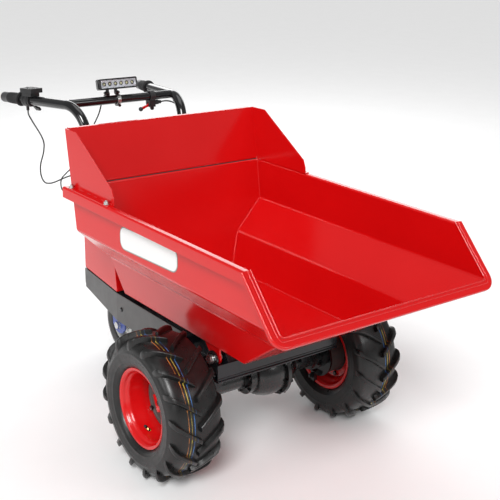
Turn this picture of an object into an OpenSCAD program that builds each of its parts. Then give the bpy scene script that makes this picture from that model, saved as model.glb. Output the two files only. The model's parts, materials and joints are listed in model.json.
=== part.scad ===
// Power wheelbarrow: battery driven, two driven wheels in front, one swivel
// wheel behind, tipping steel tray, handlebar with controls and work lamp.
// Millimetres. +X towards the dumping lip, +Y to the machine's left, +Z up,
// ground at z = 0, origin on the ground under the middle of the machine.

/* [Tray] */
// Inside half width of the upper band
tray_half_w = 342; // [300:1:380]
// Height of the rim
rim_z = 732; // [700:1:780]
// Height of the lower edge of the band and of the dumping lip
band_z = 604; // [580:1:640]
// Height of the knee between slope and steep wall
knee_z = 505; // [480:1:530]
// Height of the tray floor
floor_z = 384; // [378:1:400]
// Inside half width at the knee
knee_half_w = 239; // [220:1:242]
// Inside half width of the floor
floor_half_w = 204; // [190:1:215]
// Sheet thickness
sheet_t = 3; // [2:0.5:4]
// Rim flange width
flange_w = 23; // [18:1:30]
// Rim flange return depth
flange_drop = 33; // [20:1:40]
// Width of the flange round the mouth
mouth_w = 27; // [20:1:32]

/* [Headboard] */
// Top of the headboard
head_z = 903; // [860:1:930]
// Length of the level top of the wings
wing_flat = 63; // [40:1:90]

/* [Drive wheels] */
// Height of the front axle
axle_z = 212; // [205:1:220]
// Radius over the lugs
tyre_r = 212; // [205:1:220]
// Distance from the centre plane to the tyre centre
track_half = 330; // [325:1:340]
// Section width of the tyre
tyre_w = 165; // [155:1:168]
// Rim flange radius
rim_r = 116; // [112:1:118]
// Lugs on each side of the tread
lug_count = 16; // [14:1:20]

/* [Swivel wheel] */
// Distance of the swivel axis behind the front axle
swivel_back = 687; // [670:1:700]
// Trail of the swivel wheel
trail = 50; // [40:1:60]
// Radius of the swivel wheel
caster_r = 125; // [120:1:127]
// Width of the swivel tyre
caster_w = 76; // [70:1:78]

/* [Handlebar] */
// Radius of the handlebar tubes
tube_r = 16; // [14:0.5:17]
// Height of the bend vertex
bend_z = 922; // [900:1:940]
// Radius of the bend
bend_r = 95; // [85:1:105]
// Length from the bend vertex to the end of a tube
handle_len = 432; // [420:1:460]
// Radius of the crossbar
bar_r = 14; // [12:0.5:15]

/* [Lamp] */
// Height of the lamp housing
lamp_h = 36; // [32:1:42]
// Backward lean of the lamp at rest
lamp_lean = 12; // [0:1:20]

/* [Hidden] */
x0 = 273.25;            // moves the front axle ahead of the origin
rear_rim = -462;
rear_band = -442;
rear_knee = -427;
rear_floor = -405;
floor_front = 220;
lip_x = 543;
rim_front = 423;
piv_x = 80;
piv_z = 345;
piv_r = 8;
chute_a = atan2(band_z - floor_z, lip_x - floor_front);
mouth_a = atan2(rim_z - band_z, rim_front - lip_x);   // direction lip to rim
mouth_len = sqrt(pow(rim_z - band_z, 2) + pow(rim_front - lip_x, 2));
red = "#c8161a";
deepred = "#b01014";
black = "#1c1d20";
slate = "#2b2f36";
grey = "#6b6967";
zinc = "#c4c6c4";
rubber = "#1d1c1b";
blue = "#2f4fa0";
castgrey = "#3a3a3c";

// ---------- helpers ----------
module at() translate([x0, 0, 0]) children();
// extrude an XZ outline along Y from y1 to y2
module ext_y(y1, y2) translate([0, y2, 0]) rotate([90, 0, 0]) linear_extrude(height = y2 - y1) children();
// extrude a YZ outline along X from x1 to x2
module ext_x(x1, x2) translate([x1, 0, 0]) rotate([90, 0, 90]) linear_extrude(height = x2 - x1) children();
// round bar along Y / X / Z
module bar_y(x, z, r, y1, y2, fn = 48) translate([x, y1, z]) rotate([-90, 0, 0]) cylinder(r = r, h = y2 - y1, $fn = fn);
module bar_x(y, z, r, x1, x2, fn = 48) translate([x1, y, z]) rotate([0, 90, 0]) cylinder(r = r, h = x2 - x1, $fn = fn);
module box(a, b) translate(a) cube([b[0] - a[0], b[1] - a[1], b[2] - a[2]]);
// straight round bar between two points
module rod(a, b, r, fn = 32) {
    d = b - a; l = norm(d);
    translate(a) rotate([0, acos(d[2] / l), atan2(d[1], d[0])]) cylinder(r = r, h = l, $fn = fn);
}
// smooth curve through route points and the tube swept along it
function cr(p, i, t) = let(n = len(p), a = p[max(i - 1, 0)], b = p[i], c = p[min(i + 1, n - 1)], d = p[min(i + 2, n - 1)])
    0.5 * ((2 * b) + (c - a) * t + (2 * a - 5 * b + 4 * c - d) * t * t + (3 * b - a - 3 * c + d) * t * t * t);
function curve(p, k) = [for (i = [0 : len(p) - 2]) for (j = [0 : k - 1]) cr(p, i, j / k), p[len(p) - 1]];
function unit(v) = v / norm(v);
function tangent(c, i) = unit(c[min(i + 1, len(c) - 1)] - c[max(i - 1, 0)]);
function side_of(t, n) = unit(n - (n * t) * t);
function frames(c, i, n) = i == len(c) ? [] : let(m = side_of(tangent(c, i), n)) concat([m], frames(c, i + 1, m));
module sweep(route, r, k, sides, start) {
    c = curve(route, k);
    f = frames(c, 0, start);
    n = len(c);
    pts = [for (i = [0 : n - 1]) let(t = tangent(c, i), a = f[i], b = cross(t, a))
        for (j = [0 : sides - 1]) c[i] + r * cos(j * 360 / sides) * a + r * sin(j * 360 / sides) * b];
    faces = concat(
        [[for (j = [0 : sides - 1]) j]],
        [for (i = [0 : n - 2]) for (j = [0 : sides - 1]) [i * sides + j, (i + 1) * sides + j, (i + 1) * sides + (j + 1) % sides]],
        [for (i = [0 : n - 2]) for (j = [0 : sides - 1]) [i * sides + j, (i + 1) * sides + (j + 1) % sides, i * sides + (j + 1) % sides]],
        [[for (j = [sides - 1 : -1 : 0]) (n - 1) * sides + j]]);
    polyhedron(points = pts, faces = faces, convexity = 6);
}

// ---------- tray ----------
inner_side = [[rear_rim, rim_z], [rear_band, band_z], [rear_knee, knee_z], [rear_floor, floor_z],
    [floor_front, floor_z], [lip_x, band_z], [rim_front, rim_z]];
module side_profile() polygon(inner_side);
module outer_section(t = 0) polygon([[-tray_half_w - t, rim_z], [-tray_half_w - t, band_z], [-knee_half_w - t, knee_z],
    [-floor_half_w - t, floor_z - 10], [floor_half_w + t, floor_z - 10], [knee_half_w + t, knee_z], [tray_half_w + t, band_z], [tray_half_w + t, rim_z]]);

// upper band of one side with the folded rim flange; s = -1 right, 1 left
module side_panel(s) color(red) at() difference() {
    ext_x(-500, 560) polygon([[s * tray_half_w, band_z], [s * tray_half_w, rim_z], [s * (tray_half_w + flange_w), rim_z],
        [s * (tray_half_w + flange_w), rim_z - flange_drop], [s * (tray_half_w + flange_w - sheet_t), rim_z - flange_drop],
        [s * (tray_half_w + flange_w - sheet_t), rim_z - sheet_t], [s * (tray_half_w + sheet_t), rim_z - sheet_t],
        [s * (tray_half_w + sheet_t), band_z]]);
    // rear end follows the rear wall below the flange
    ext_y(-400, 400) polygon([[-510, band_z - 5], [rear_band - sheet_t + 0.8, band_z - 5], [rear_rim - sheet_t + 5.4, rim_z - flange_drop], [-510, rim_z - flange_drop]]);
    ext_y(-400, 400) polygon([[-510, band_z - 5], [rear_rim - flange_w, band_z - 5], [rear_rim - flange_w, rim_z + 5], [-510, rim_z + 5]]);
    // front end follows the mouth
    ext_y(-400, 400) polygon([[lip_x, band_z], [rim_front, rim_z], [rim_front, rim_z + 20], [700, rim_z + 20], [700, band_z - 20], [lip_x, band_z - 20]]);
}
module side_right() side_panel(-1);
module side_left() side_panel(1);

// slope and steep wall of one side, one bent sheet
module hopper_wall(s) color(red) at() intersection() {
    ext_x(-500, 560) polygon([[s * tray_half_w, band_z], [s * (tray_half_w + sheet_t), band_z - 1], [s * (knee_half_w + sheet_t + 1), knee_z - 1],
        [s * (floor_half_w + sheet_t), floor_z - sheet_t], [s * floor_half_w, floor_z - sheet_t], [s * floor_half_w, floor_z], [s * knee_half_w, knee_z]]);
    ext_y(-400, 400) polygon([[rear_band, band_z], [rear_knee, knee_z], [rear_floor, floor_z], [rear_floor, floor_z - sheet_t],
        [floor_front, floor_z - sheet_t], [floor_front, floor_z], [lip_x, band_z]]);
}
module hopper_right() hopper_wall(-1);
module hopper_left() hopper_wall(1);

// rear wall with its rim flange
module rear_wall() color(red) at() intersection() {
    ext_y(-400, 400) polygon([[rear_rim, rim_z], [rear_band, band_z], [rear_knee, knee_z], [rear_floor, floor_z], [rear_floor, floor_z - sheet_t],
        [rear_floor - sheet_t, floor_z - sheet_t], [rear_knee - sheet_t, knee_z], [rear_band - sheet_t, band_z], [rear_rim - sheet_t + 0.5, rim_z - sheet_t],
        [rear_rim - flange_w + sheet_t, rim_z - sheet_t], [rear_rim - flange_w + sheet_t, rim_z - flange_drop], [rear_rim - flange_w, rim_z - flange_drop], [rear_rim - flange_w, rim_z]]);
    ext_x(-500, 560) outer_section(0);
}

// level floor and the chute up to the lip, one bent sheet
module tray_floor() color(red) at() intersection() {
    ext_y(-400, 400) polygon([[rear_floor, floor_z], [floor_front, floor_z], [lip_x, band_z],
        [lip_x + sheet_t * sin(chute_a), band_z - sheet_t * cos(chute_a)], [floor_front + sheet_t * tan(chute_a / 2), floor_z - sheet_t], [rear_floor, floor_z - sheet_t]]);
    ext_x(-500, 560) polygon([[-tray_half_w, band_z + 1], [-knee_half_w, knee_z], [-floor_half_w, floor_z], [-floor_half_w, floor_z - 8],
        [floor_half_w, floor_z - 8], [floor_half_w, floor_z], [knee_half_w, knee_z], [tray_half_w, band_z + 1]]);
}

// flange round the mouth with a short return; drawn flat, then leant back
module mouth_outline(m) {
    // local x = across, local y = from the lip up to the rim
    r = 38;
    o = tray_half_w + m;
    difference() {
        union() {
            translate([-o, -m + r]) square([2 * o, mouth_len + m - r]);
            translate([-o + r, -m]) square([2 * (o - r), r + 1]);
            for (s = [-1, 1]) translate([s * (o - r), -m + r]) circle(r = r, $fn = 48);
        }
        children();
    }
}
module mouth_frame() color(red) at() translate([lip_x, 0, band_z]) rotate([0, 90 - (mouth_a - 90) - 90, 0]) rotate([90, 0, 90]) {
    linear_extrude(height = sheet_t) mouth_outline(mouth_w)
        translate([-tray_half_w, 0]) square([2 * tray_half_w, mouth_len + 10]);
    translate([0, 0, -11]) linear_extrude(height = 11.5) mouth_outline(mouth_w) {
        r = 35;
        o = tray_half_w + mouth_w - sheet_t;
        translate([-o, -mouth_w + sheet_t + r]) square([2 * o, mouth_len + 60]);
        translate([-o + r, -mouth_w + sheet_t]) square([2 * (o - r), r + 1]);
        for (s = [-1, 1]) translate([s * (o - r), -mouth_w + sheet_t + r]) circle(r = r, $fn = 48);
    }
}

// headboard: leaning back panel and two wings standing on the rim
lean = atan2(28, head_z - rim_z - sheet_t);
module headboard() color(red) at() {
    wing(-1);
    wing(1);
    ext_y(-tray_half_w - sheet_t, tray_half_w + sheet_t) polygon([[rear_rim, rim_z], [rear_rim - 28, head_z], [rear_rim - 31, head_z],
        [rear_rim - 3, rim_z + 3], [rear_rim - flange_w + 1, rim_z + 3], [rear_rim - flange_w + 1, rim_z]]);
    // folded stiffening edge behind the top
    ext_y(-tray_half_w + 12, tray_half_w - 12) polygon([[rear_rim - 28, head_z], [rear_rim - 28, head_z - 3], [rear_rim - 43, head_z - 3], [rear_rim - 43, head_z - 14], [rear_rim - 46, head_z - 14], [rear_rim - 46, head_z]]);
}
module wing(s) {
    ext_y(s > 0 ? tray_half_w : -tray_half_w - sheet_t, s > 0 ? tray_half_w + sheet_t : -tray_half_w) polygon([[rear_rim, rim_z], [-208, rim_z], [-210, rim_z + 22],
        [-220, rim_z + 44], [rear_rim - 28 + wing_flat, head_z], [rear_rim - 28, head_z]]);
    // base flange lying on the rim
    difference() {
        box([rear_rim, s > 0 ? tray_half_w + sheet_t : -tray_half_w - flange_w + 2, rim_z], [-215, s > 0 ? tray_half_w + flange_w - 2 : -tray_half_w - sheet_t, rim_z + 3]);
        for (x = [-445, -232]) translate([x, s * (tray_half_w + 13), rim_z - 5]) cylinder(r = 4.5, h = 20, $fn = 32);
    }
}

// hexagon screw head (or nut) standing along +Z
module hexhead(af, h) cylinder(r = af / sqrt(3), h = h, $fn = 6);
module headboard_bolts() color(zinc) at() for (s = [-1, 1], x = [-445, -232]) translate([x, s * (tray_half_w + 13), 0]) {
    translate([0, 0, rim_z + 3]) cylinder(r = 8.5, h = 1.6, $fn = 32);
    translate([0, 0, rim_z + 4.6]) hexhead(13, 6.5);
    translate([0, 0, rim_z]) cylinder(r = 4, h = 15, $fn = 32);
}

// ears under the tray that turn on the pivot pins
module ear(s) difference() {
    union() {
        ext_y(s > 0 ? 192 : -198, s > 0 ? 198 : -192) polygon([[20, floor_z - sheet_t], [62, piv_z - 8], [90, piv_z - 8], [96, piv_z + 12], [96, floor_z - sheet_t]]);
        bar_y(piv_x, piv_z, 20, s > 0 ? 192 : -198, s > 0 ? 198 : -192);
    }
    bar_y(piv_x, piv_z, piv_r + 0.06, -230, 230);
}
module tray_ears() color(red) at() for (s = [-1, 1]) ear(s);
// ---------- chassis ----------
module rail(s) color(slate) at() difference() {
    ext_y(s > 0 ? 142 : -176, s > 0 ? 176 : -142) polygon([[-705, 316], [110, 316], [110, 334], [84, 371], [-705, 371]]);
    ext_y(s > 0 ? 145 : -173, s > 0 ? 173 : -145) polygon([[-706, 319], [70, 319], [70, 368], [-706, 368]]);
}
module rail_right() rail(-1);
module rail_left() rail(1);

module front_beam() color(slate) at() {
    box([110, -216, 284], [115, 216, 337]);
    box([80, -216, 284], [110, 216, 289]);
    for (s = [-1, 1]) box([86, s > 0 ? 150 : -156, 289], [110, s > 0 ? 156 : -150, 316]);
}
module cross_members() color(slate) at() {
    box([-250, -142, 320], [-210, 142, 360]);
    // rear end plate, battery angles and the seat of the swivel wheel
    box([-705, -142, 330], [-700, 142, 371]);
    for (x = [-624, -520]) box([x, -142, 365], [x + 24, 142, 371]);
    difference() {
        box([-744, -70, 306], [-629, 70, 316]);
        for (a = [-1, 1], b = [-1, 1]) translate([sx + a * 42, b * 40, 300]) cylinder(r = 5.2, h = 20, $fn = 32);
    }
    for (y = [-70, 62]) box([-700, y, 316], [-634, y + 8, 365]);
    for (y = [-142, 70]) box([-700, y, 330], [-660, y + 72, 336]);
    // saddles carrying the axle under the rails
    for (s = [-1, 1]) difference() {
        box([-38, s > 0 ? 147 : -175, axle_z + 10], [38, s > 0 ? 175 : -147, 316]);
        bar_y(0, axle_z, 28, -260, 260, 64);
    }
}
module pivot_brackets() color(black) at() for (s = [-1, 1]) difference() {
    union() {
        ext_y(s > 0 ? 206 : -212, s > 0 ? 212 : -206) polygon([[40, 300], [108, 300], [104, 336], [98, 352], [62, 352], [30, 330]]);
        bar_y(piv_x, piv_z, 24, s > 0 ? 206 : -212, s > 0 ? 212 : -206);
        box([40, s > 0 ? 150 : -212, 300], [78, s > 0 ? 212 : -150, 316]);
    }
    bar_y(piv_x, piv_z, piv_r, -230, 230);
}
module pivot_pins() color(zinc) at() for (s = [-1, 1]) {
    bar_y(piv_x, piv_z, piv_r, s > 0 ? 182 : -214, s > 0 ? 214 : -182);
    bar_y(piv_x, piv_z, 13, s > 0 ? 212 : -214.5, s > 0 ? 214.5 : -212);
    translate([piv_x, s > 0 ? 214.5 : -214.5, piv_z]) rotate([s > 0 ? -90 : 90, 0, 0]) hexhead(22, 9);
    translate([piv_x, s > 0 ? 191 : -191, piv_z]) rotate([s > 0 ? 90 : -90, 0, 0]) hexhead(19, 7);
}
// axle with the differential housing, turned about the wheel axis
module axle_housing() color(castgrey) at() difference() {
    union() {
        bar_y(0, axle_z, 28, -244, 244, 64);
        translate([0, 0, axle_z]) rotate([-90, 0, 0]) rotate_extrude($fn = 72)
            polygon([[0, -60], [33, -60], [33, -48], [50, -48], [50, -34], [47, -32], [47, -24], [56, -20], [64, -6], [70, 14], [72, 36], [70, 60], [68, 66],
                [79, 66], [79, 78], [69, 78], [64, 90], [52, 102], [43, 108], [43, 114], [36, 124], [36, 130], [0, 130]]);
        // reduction case and motor flange behind
        translate([-92, 36, axle_z + 6]) rotate([0, 90, 0]) cylinder(r = 52, h = 60, $fn = 48);
        for (s = [-1, 1]) bar_y(0, axle_z, 36, s > 0 ? 196 : -208, s > 0 ? 208 : -196, 48);
    }
    bar_y(0, axle_z, 18, -260, -190, 48);
    bar_y(0, axle_z, 18, 190, 260, 48);
}
module housing_bolts() color(black) at() {
    for (a = [0 : 45 : 315]) rotate([0, 0, 0]) translate([0, 78, axle_z]) rotate([-90, 0, 0]) rotate([0, 0, a + 12]) translate([74, 0, -17]) {
        cylinder(r = 4, h = 21, $fn = 24);
        translate([0, 0, 17]) hexhead(12, 5);
        hexhead(12, 5);
    }
    for (a = [0 : 60 : 300]) translate([0, -48, axle_z]) rotate([90, 0, 0]) rotate([0, 0, a + 20]) translate([42, 0, -14]) {
        cylinder(r = 3.5, h = 16, $fn = 24);
        translate([0, 0, 14]) hexhead(11, 6);
    }
}
module drive_motor() color(black) at() {
    bar_x(36, axle_z + 6, 58, -250, -92, 64);
    bar_x(36, axle_z + 6, 62, -104, -92, 48);
    bar_x(36, axle_z + 6, 40, -262, -250, 48);
    box([-190, 20, axle_z + 56], [-130, 52, axle_z + 78]);
    for (x = [-236 : 14 : -124]) bar_x(36, axle_z + 6, 61, x, x + 5, 48);
}
module brake_backs() color(black) at() for (s = [-1, 1]) difference() {
    union() {
        bar_y(0, axle_z, 68, s > 0 ? 238 : -244, s > 0 ? 244 : -238, 64);
        bar_y(0, axle_z, 40, s > 0 ? 226 : -240, s > 0 ? 240 : -226, 48);
        box([-8, s > 0 ? 226 : -238, axle_z - 84], [8, s > 0 ? 238 : -226, axle_z - 52]);
        bar_y(0, axle_z - 66, 5, s > 0 ? 212 : -230, s > 0 ? 230 : -212, 24);
        translate([0, s > 0 ? 226 : -226, axle_z - 66]) rotate([s > 0 ? 90 : -90, 0, 0]) hexhead(15, 9);
    }
    bar_y(0, axle_z, 28, -260, 260, 64);
}
// skirt: folded grey sheet round the battery bay
module skirt_side(s) difference() {
    translate([0, 0, 278]) linear_extrude(height = 93) polygon([[-58, s * 212], [-450, s * 212], [-716, s * 182], [-716, s * 179.5], [-450, s * 209.5], [-58, s * 209.5]]);
    ext_y(-260, 260) polygon([[-452, 277.9], [-720, 306], [-720, 270], [-452, 270]]);
    // clearance for the pivot side of the frame
    for (x = [-100, -420]) translate([x, s * 211, 325]) rotate([90, 0, 0]) cylinder(r = 4.5, h = 20, center = true, $fn = 32);
}
module skirt() color(grey) at() {
    skirt_side(-1);
    skirt_side(1);
    box([-718.5, -182, 318], [-716, 182, 371]);
}
module skirt_stay(s, x) {
    difference() {
        box([x - 15, s > 0 ? 176 : -209.5, 319], [x + 15, s > 0 ? 209.5 : -176, 331]);
        translate([x, s * 196, 325]) rotate([90, 0, 0]) cylinder(r = 4, h = 40, center = true, $fn = 32);
    }
}
module skirt_screws() color(black) at() for (s = [-1, 1], x = [-100, -420]) translate([x, s * 212, 325]) rotate([s > 0 ? -90 : 90, 0, 0]) {
    translate([0, 0, -14]) cylinder(r = 3.8, h = 15, $fn = 32);
    cylinder(r1 = 8, r2 = 5, h = 4, $fn = 32);
}

// battery cover: folded shell open below, with clearance for the tubes
function cover_plan(t) = [[-446 - t, 212 - t], [-450 - t, 212 - t], [-716 + t, 182 - t], [-716 + t, -182 + t], [-450 - t, -212 + t], [-446 - t, -212 + t]];
module battery_cover() color(red) at() difference() {
    intersection() {
        translate([0, 0, 376]) linear_extrude(height = 184) polygon(cover_plan(0));
        ext_y(-260, 260) polygon([[-446, 376], [-474, 560], [-716, 560], [-716, 376]]);
    }
    intersection() {
        translate([0, 0, 370]) linear_extrude(height = 187) polygon(cover_plan(2.5));
        ext_y(-260, 260) polygon([[-449, 370], [-477, 557], [-720, 557], [-720, 370]]);
    }
    for (s = [-1, 1]) translate([-646.8, s * 163.5, 540]) cylinder(r = 18.6, h = 40, $fn = 48);
    translate([-690, -110, 540]) cylinder(r = 5, h = 40, $fn = 32);
    translate([-690, -60, 540]) cylinder(r = 5, h = 40, $fn = 32);
    translate([-690, 110, 540]) cylinder(r = 5, h = 40, $fn = 32);
}
module battery_pack() color("#33363a") at() {
    for (y = [-118, 4]) {
        box([-622, y, 378], [-500, y + 114, 520]);
        box([-612, y + 20, 520], [-510, y + 30, 526]);
    }
    for (y = [-90, -34, 32, 88]) translate([-520, y, 520]) cylinder(r = 8, h = 12, $fn = 32);
    box([-624, -122, 371], [-496, 122, 378.5]);
}
module motor_controller() color("#8d9196") at() {
    box([-698, -72, 365], [-640, 72, 384]);
    for (y = [-64 : 16 : 60]) box([-696, y, 384], [-642, y + 6, 412]);
    box([-690, -66, 384], [-650, 66, 400]);
}

// ---------- swivel wheel ----------
sx = -swivel_back;
cx = -swivel_back - trail;
module caster_plate() color(zinc) at() {
    for (a = [-1, 1], b = [-1, 1]) translate([sx + a * 42, b * 40, 292]) {
        cylinder(r = 4.9, h = 30, $fn = 32);
        hexhead(17, 8);
        translate([0, 0, 24]) hexhead(17, 8);
    }
    difference() {
        box([sx - 55, -52, 300], [sx + 55, 52, 306]);
        for (a = [-1, 1], b = [-1, 1]) translate([sx + a * 42, b * 40, 290]) cylinder(r = 5.2, h = 30, $fn = 32);
    }
    translate([sx, 0, 287]) cylinder(r1 = 30, r2 = 36, h = 13, $fn = 64);
    translate([sx, 0, 258]) cylinder(r = 10, h = 30, $fn = 48);
    translate([sx, 0, 258]) hexhead(30, 9.5);
}
module fork_leg(s) ext_y(s > 0 ? 43 : -49, s > 0 ? 49 : -43) polygon([[sx + 46, 283], [sx + 44, 240], [cx + 46, 166], [cx + 40, 118], [cx + 24, 100], [cx, 94],
    [cx - 24, 100], [cx - 40, 118], [cx - 46, 166], [sx - 50, 240], [sx - 46, 283]]);
module caster_fork() color(blue) at() difference() {
    union() {
        for (s = [-1, 1]) fork_leg(s);
        box([sx - 46, -49, 271], [sx + 46, 49, 277]);
        translate([sx, 0, 277]) cylinder(r = 40, h = 6, $fn = 64);
        translate([sx, 0, 283]) cylinder(r = 33, h = 3.5, $fn = 64);
    }
    translate([sx, 0, 250]) cylinder(r = 10.06, h = 60, $fn = 48);
    bar_y(cx, caster_r, 8, -60, 60);
}
module caster_axle() color(zinc) at() {
    bar_y(cx, caster_r, 8, -58, 58);
    bar_y(cx, caster_r, 14, -51, -49, 40);
    bar_y(cx, caster_r, 14, 49, 51, 40);
    translate([cx, -51, caster_r]) rotate([90, 0, 0]) hexhead(24, 9);
    translate([cx, 51, caster_r]) rotate([-90, 0, 0]) hexhead(24, 9);
}
module yturn(x, z) translate([x, 0, z]) rotate([-90, 0, 0]) rotate_extrude($fn = 96) children();
module caster_tyre() color(rubber) at() yturn(cx, caster_r) polygon([[68, -34.5], [70, -37], [90, -38], [106, -36], [117, -29], [123, -17], [125, -8],
    [125, 8], [123, 17], [117, 29], [106, 36], [90, 38], [70, 37],
    [68, 34.5], [68, 31.2], [60.1, 24], [60.1, -24], [68, -31.2]]);
module caster_rim() color(zinc) at() yturn(cx, caster_r) polygon([[8.06, -40], [20, -40], [20, -30], [24, -12], [44, -12], [56, -30], [66, -34], [67, -31], [60, -24], [60, 24], [67, 31],
    [66, 34], [56, 30], [44, 12], [24, 12], [20, 30], [20, 40], [8.06, 40]]);

// ---------- drive wheels; local +Z points outwards ----------
module wheel_at(s) at() translate([0, s * track_half, axle_z]) rotate([s > 0 ? -90 : 90, 0, 0]) children();
module lug(a, s, side) rotate([0, 0, a]) translate([180, 0, 0]) rotate([90, 0, 90]) linear_extrude(height = 40)
    polygon([[s * 21, side * -2], [s * 40, side * -2], [s * 4, side * 44], [s * -28, side * 90], [s * -48, side * 90], [s * -15, side * 44]]);
module tyre(s) color(rubber) wheel_at(s) union() {
    rotate_extrude($fn = 120) polygon([[109.2, -60.6], [105.4, -57], [105.4, -48], [112, -46], [120, -58], [150, -68], [176, -66], [186, -54], [188, 0], [186, 54],
        [176, 66], [150, 68], [120, 58], [112, 46], [105.4, 48], [105.4, 56.8], [109.2, 60.4], [116.4, 60.4], [118, 66], [126, 72.5], [138, 77], [152, 78.8], [168, 77.6], [180, 73], [188.5, 65],
        [195, 50], [198, 0], [196, -50], [192, -69], [184, -77], [170, -81], [152, -81.5], [138, -79.5], [126, -74], [118, -66], [116.4, -60.4]]);
    intersection() {
        rotate_extrude($fn = 120) polygon([[190, 0], [188, 50], [182, 62], [175, 71.5], [169, 76], [178, 79.6], [192, 76.5], [203, 68.5], [209.5, 50], [tyre_r, 20], [tyre_r, -20],
            [210, -50], [206, -72], [196, -80], [180, -82.5], [172, -81], [176, -76], [184, -66], [188, -50]]);
        for (i = [0 : lug_count - 1]) {
            lug(i * 360 / lug_count, s, 1);
            lug((i + 0.5) * 360 / lug_count, s, -1);
        }
    }
}
module tyre_right() tyre(-1);
module tyre_left() tyre(1);
valve_a = -104;
// deep rim open to the outside; the square plate clamps the hub
module rim(s) color(red) wheel_at(s) {
    difference() {
        rotate_extrude($fn = 96) polygon([[rim_r, 64.5], [109, 64.5], [103, 60], [100.5, 54], [98, 50], [93.5, 42], [90, 30], [84.5, 10], [84.5, -22], [66, -22],
            [66, -28], [84.5, -28], [86, -40], [94, -48], [98, -52], [100.5, -58], [104, -63], [110, -66], [rim_r, -66],
            [rim_r, -62.5], [109, -62], [105, -58], [104, -46.5], [98, -43], [90, -36], [88, -28], [88, 10], [93.5, 30], [97, 39], [104, 46], [105, 57], [109, 61], [rim_r, 61]]);
        for (a = [0 : 72 : 288]) rotate([0, 0, a]) translate([74, 0, -40]) cylinder(r = 4.2, h = 30, $fn = 32);
        rotate([0, 0, s * -valve_a]) translate([91, 0, 24]) rotate([0, -52, 0]) cylinder(r = 4.2, h = 40, center = true, $fn = 24);
    }
    rotate([0, 0, 25]) translate([-26, -26, -10]) cube([52, 52, 14]);
}
module rim_right() rim(-1);
module rim_left() rim(1);
// brake drum and hub with its shaft, turning with the wheel
module hub(s) color(castgrey) wheel_at(s) difference() {
    rotate_extrude($fn = 96) polygon([[0, -134], [17.94, -134], [17.94, -84], [30, -84], [30, -74], [52, -74], [52, -85], [62, -85], [62, -22], [83.5, -22], [83.5, -13],
        [80, -10], [72, -10], [70, -12], [58, -12], [56, -10], [0, -10]]);
    for (a = [0 : 72 : 288]) rotate([0, 0, a]) translate([74, 0, -40]) cylinder(r = 4.2, h = 50, $fn = 32);
}
module hub_right() hub(-1);
module hub_left() hub(1);
module wheel_bolts(s) color(black) wheel_at(s) for (a = [0 : 72 : 288]) rotate([0, 0, a]) translate([74, 0, 0]) {
    translate([0, 0, -34]) cylinder(r = 4, h = 24, $fn = 32);
    translate([0, 0, -10]) hexhead(13, 6);
    translate([0, 0, -35]) hexhead(13, 7);
}
module wheel_bolts_right() wheel_bolts(-1);
module wheel_bolts_left() wheel_bolts(1);
module valve(s) color(black) wheel_at(s) rotate([0, 0, s * -valve_a]) translate([91, 0, 24]) rotate([0, -52, 0]) {
    translate([0, 0, -3]) cylinder(r = 4, h = 10, $fn = 24);
    translate([0, 0, 5]) cylinder(r = 3, h = 16, $fn = 24);
    translate([0, 0, 20]) cylinder(r = 4.4, h = 9, $fn = 24);
}
module valve_right() valve(-1);
module valve_left() valve(1);

// ---------- handlebar ----------
function low_pt(s) = [-630, s * 150, 373];
function bend_pt(s) = [-680, s * 187, bend_z];
function end_dir(s) = unit([-438, s * 83, -22]);
// tube with one bend: lower leg, arc, rear leg
function bend_path(s, l) = let(a = low_pt(s), v = bend_pt(s), d1 = unit(v - a), d2 = end_dir(s), phi = acos(d1 * d2), tl = bend_r * tan(phi / 2),
    n = unit(d2 - (d2 * d1) * d1), c = v - tl * d1 + bend_r * n)
    concat([a], [for (i = [0 : 14]) c + bend_r * (sin(phi * i / 14) * d1 - cos(phi * i / 14) * n)], [v + l * d2]);
module bent_tube(s, r, l) {
    c = bend_path(s, l);
    sides = 32;
    m = unit(cross(c[2] - c[1], c[3] - c[1]));
    n = len(c);
    pts = [for (i = [0 : n - 1]) let(t = i == 0 ? unit(c[1] - c[0]) : i == n - 1 ? unit(c[n - 1] - c[n - 2]) : unit(unit(c[i + 1] - c[i]) + unit(c[i] - c[i - 1])), b = cross(t, m))
        for (j = [0 : sides - 1]) c[i] + r * cos(j * 360 / sides) * m + r * sin(j * 360 / sides) * b];
    faces = concat(
        [[for (j = [0 : sides - 1]) j]],
        [for (i = [0 : n - 2]) for (j = [0 : sides - 1]) [i * sides + j, (i + 1) * sides + j, (i + 1) * sides + (j + 1) % sides]],
        [for (i = [0 : n - 2]) for (j = [0 : sides - 1]) [i * sides + j, (i + 1) * sides + (j + 1) % sides, i * sides + (j + 1) % sides]],
        [[for (j = [sides - 1 : -1 : 0]) (n - 1) * sides + j]]);
    polyhedron(points = pts, faces = faces, convexity = 6);
}
module tube_right() color(black) at() bent_tube(-1, tube_r, handle_len);
module tube_left() color(black) at() bent_tube(1, tube_r, handle_len);
// stays for the skirt, feet for the cover and sockets for the tubes
module frame_brackets() color(slate) at() for (s = [-1, 1]) {
    for (x = [-100, -420]) skirt_stay(s, x);
    for (x = [-690, -470]) box([x - 12, s > 0 ? 144 : -174, 371], [x + 12, s > 0 ? 174 : -144, 376]);
    difference() {
        rod(low_pt(s) + 0.2 * leg_dir(s), low_pt(s) + 27 * leg_dir(s), 23, 48);
        rod(low_pt(s) - 12 * leg_dir(s), low_pt(s) + 60 * leg_dir(s), tube_r + 0.03, 48);
    }
}
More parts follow.
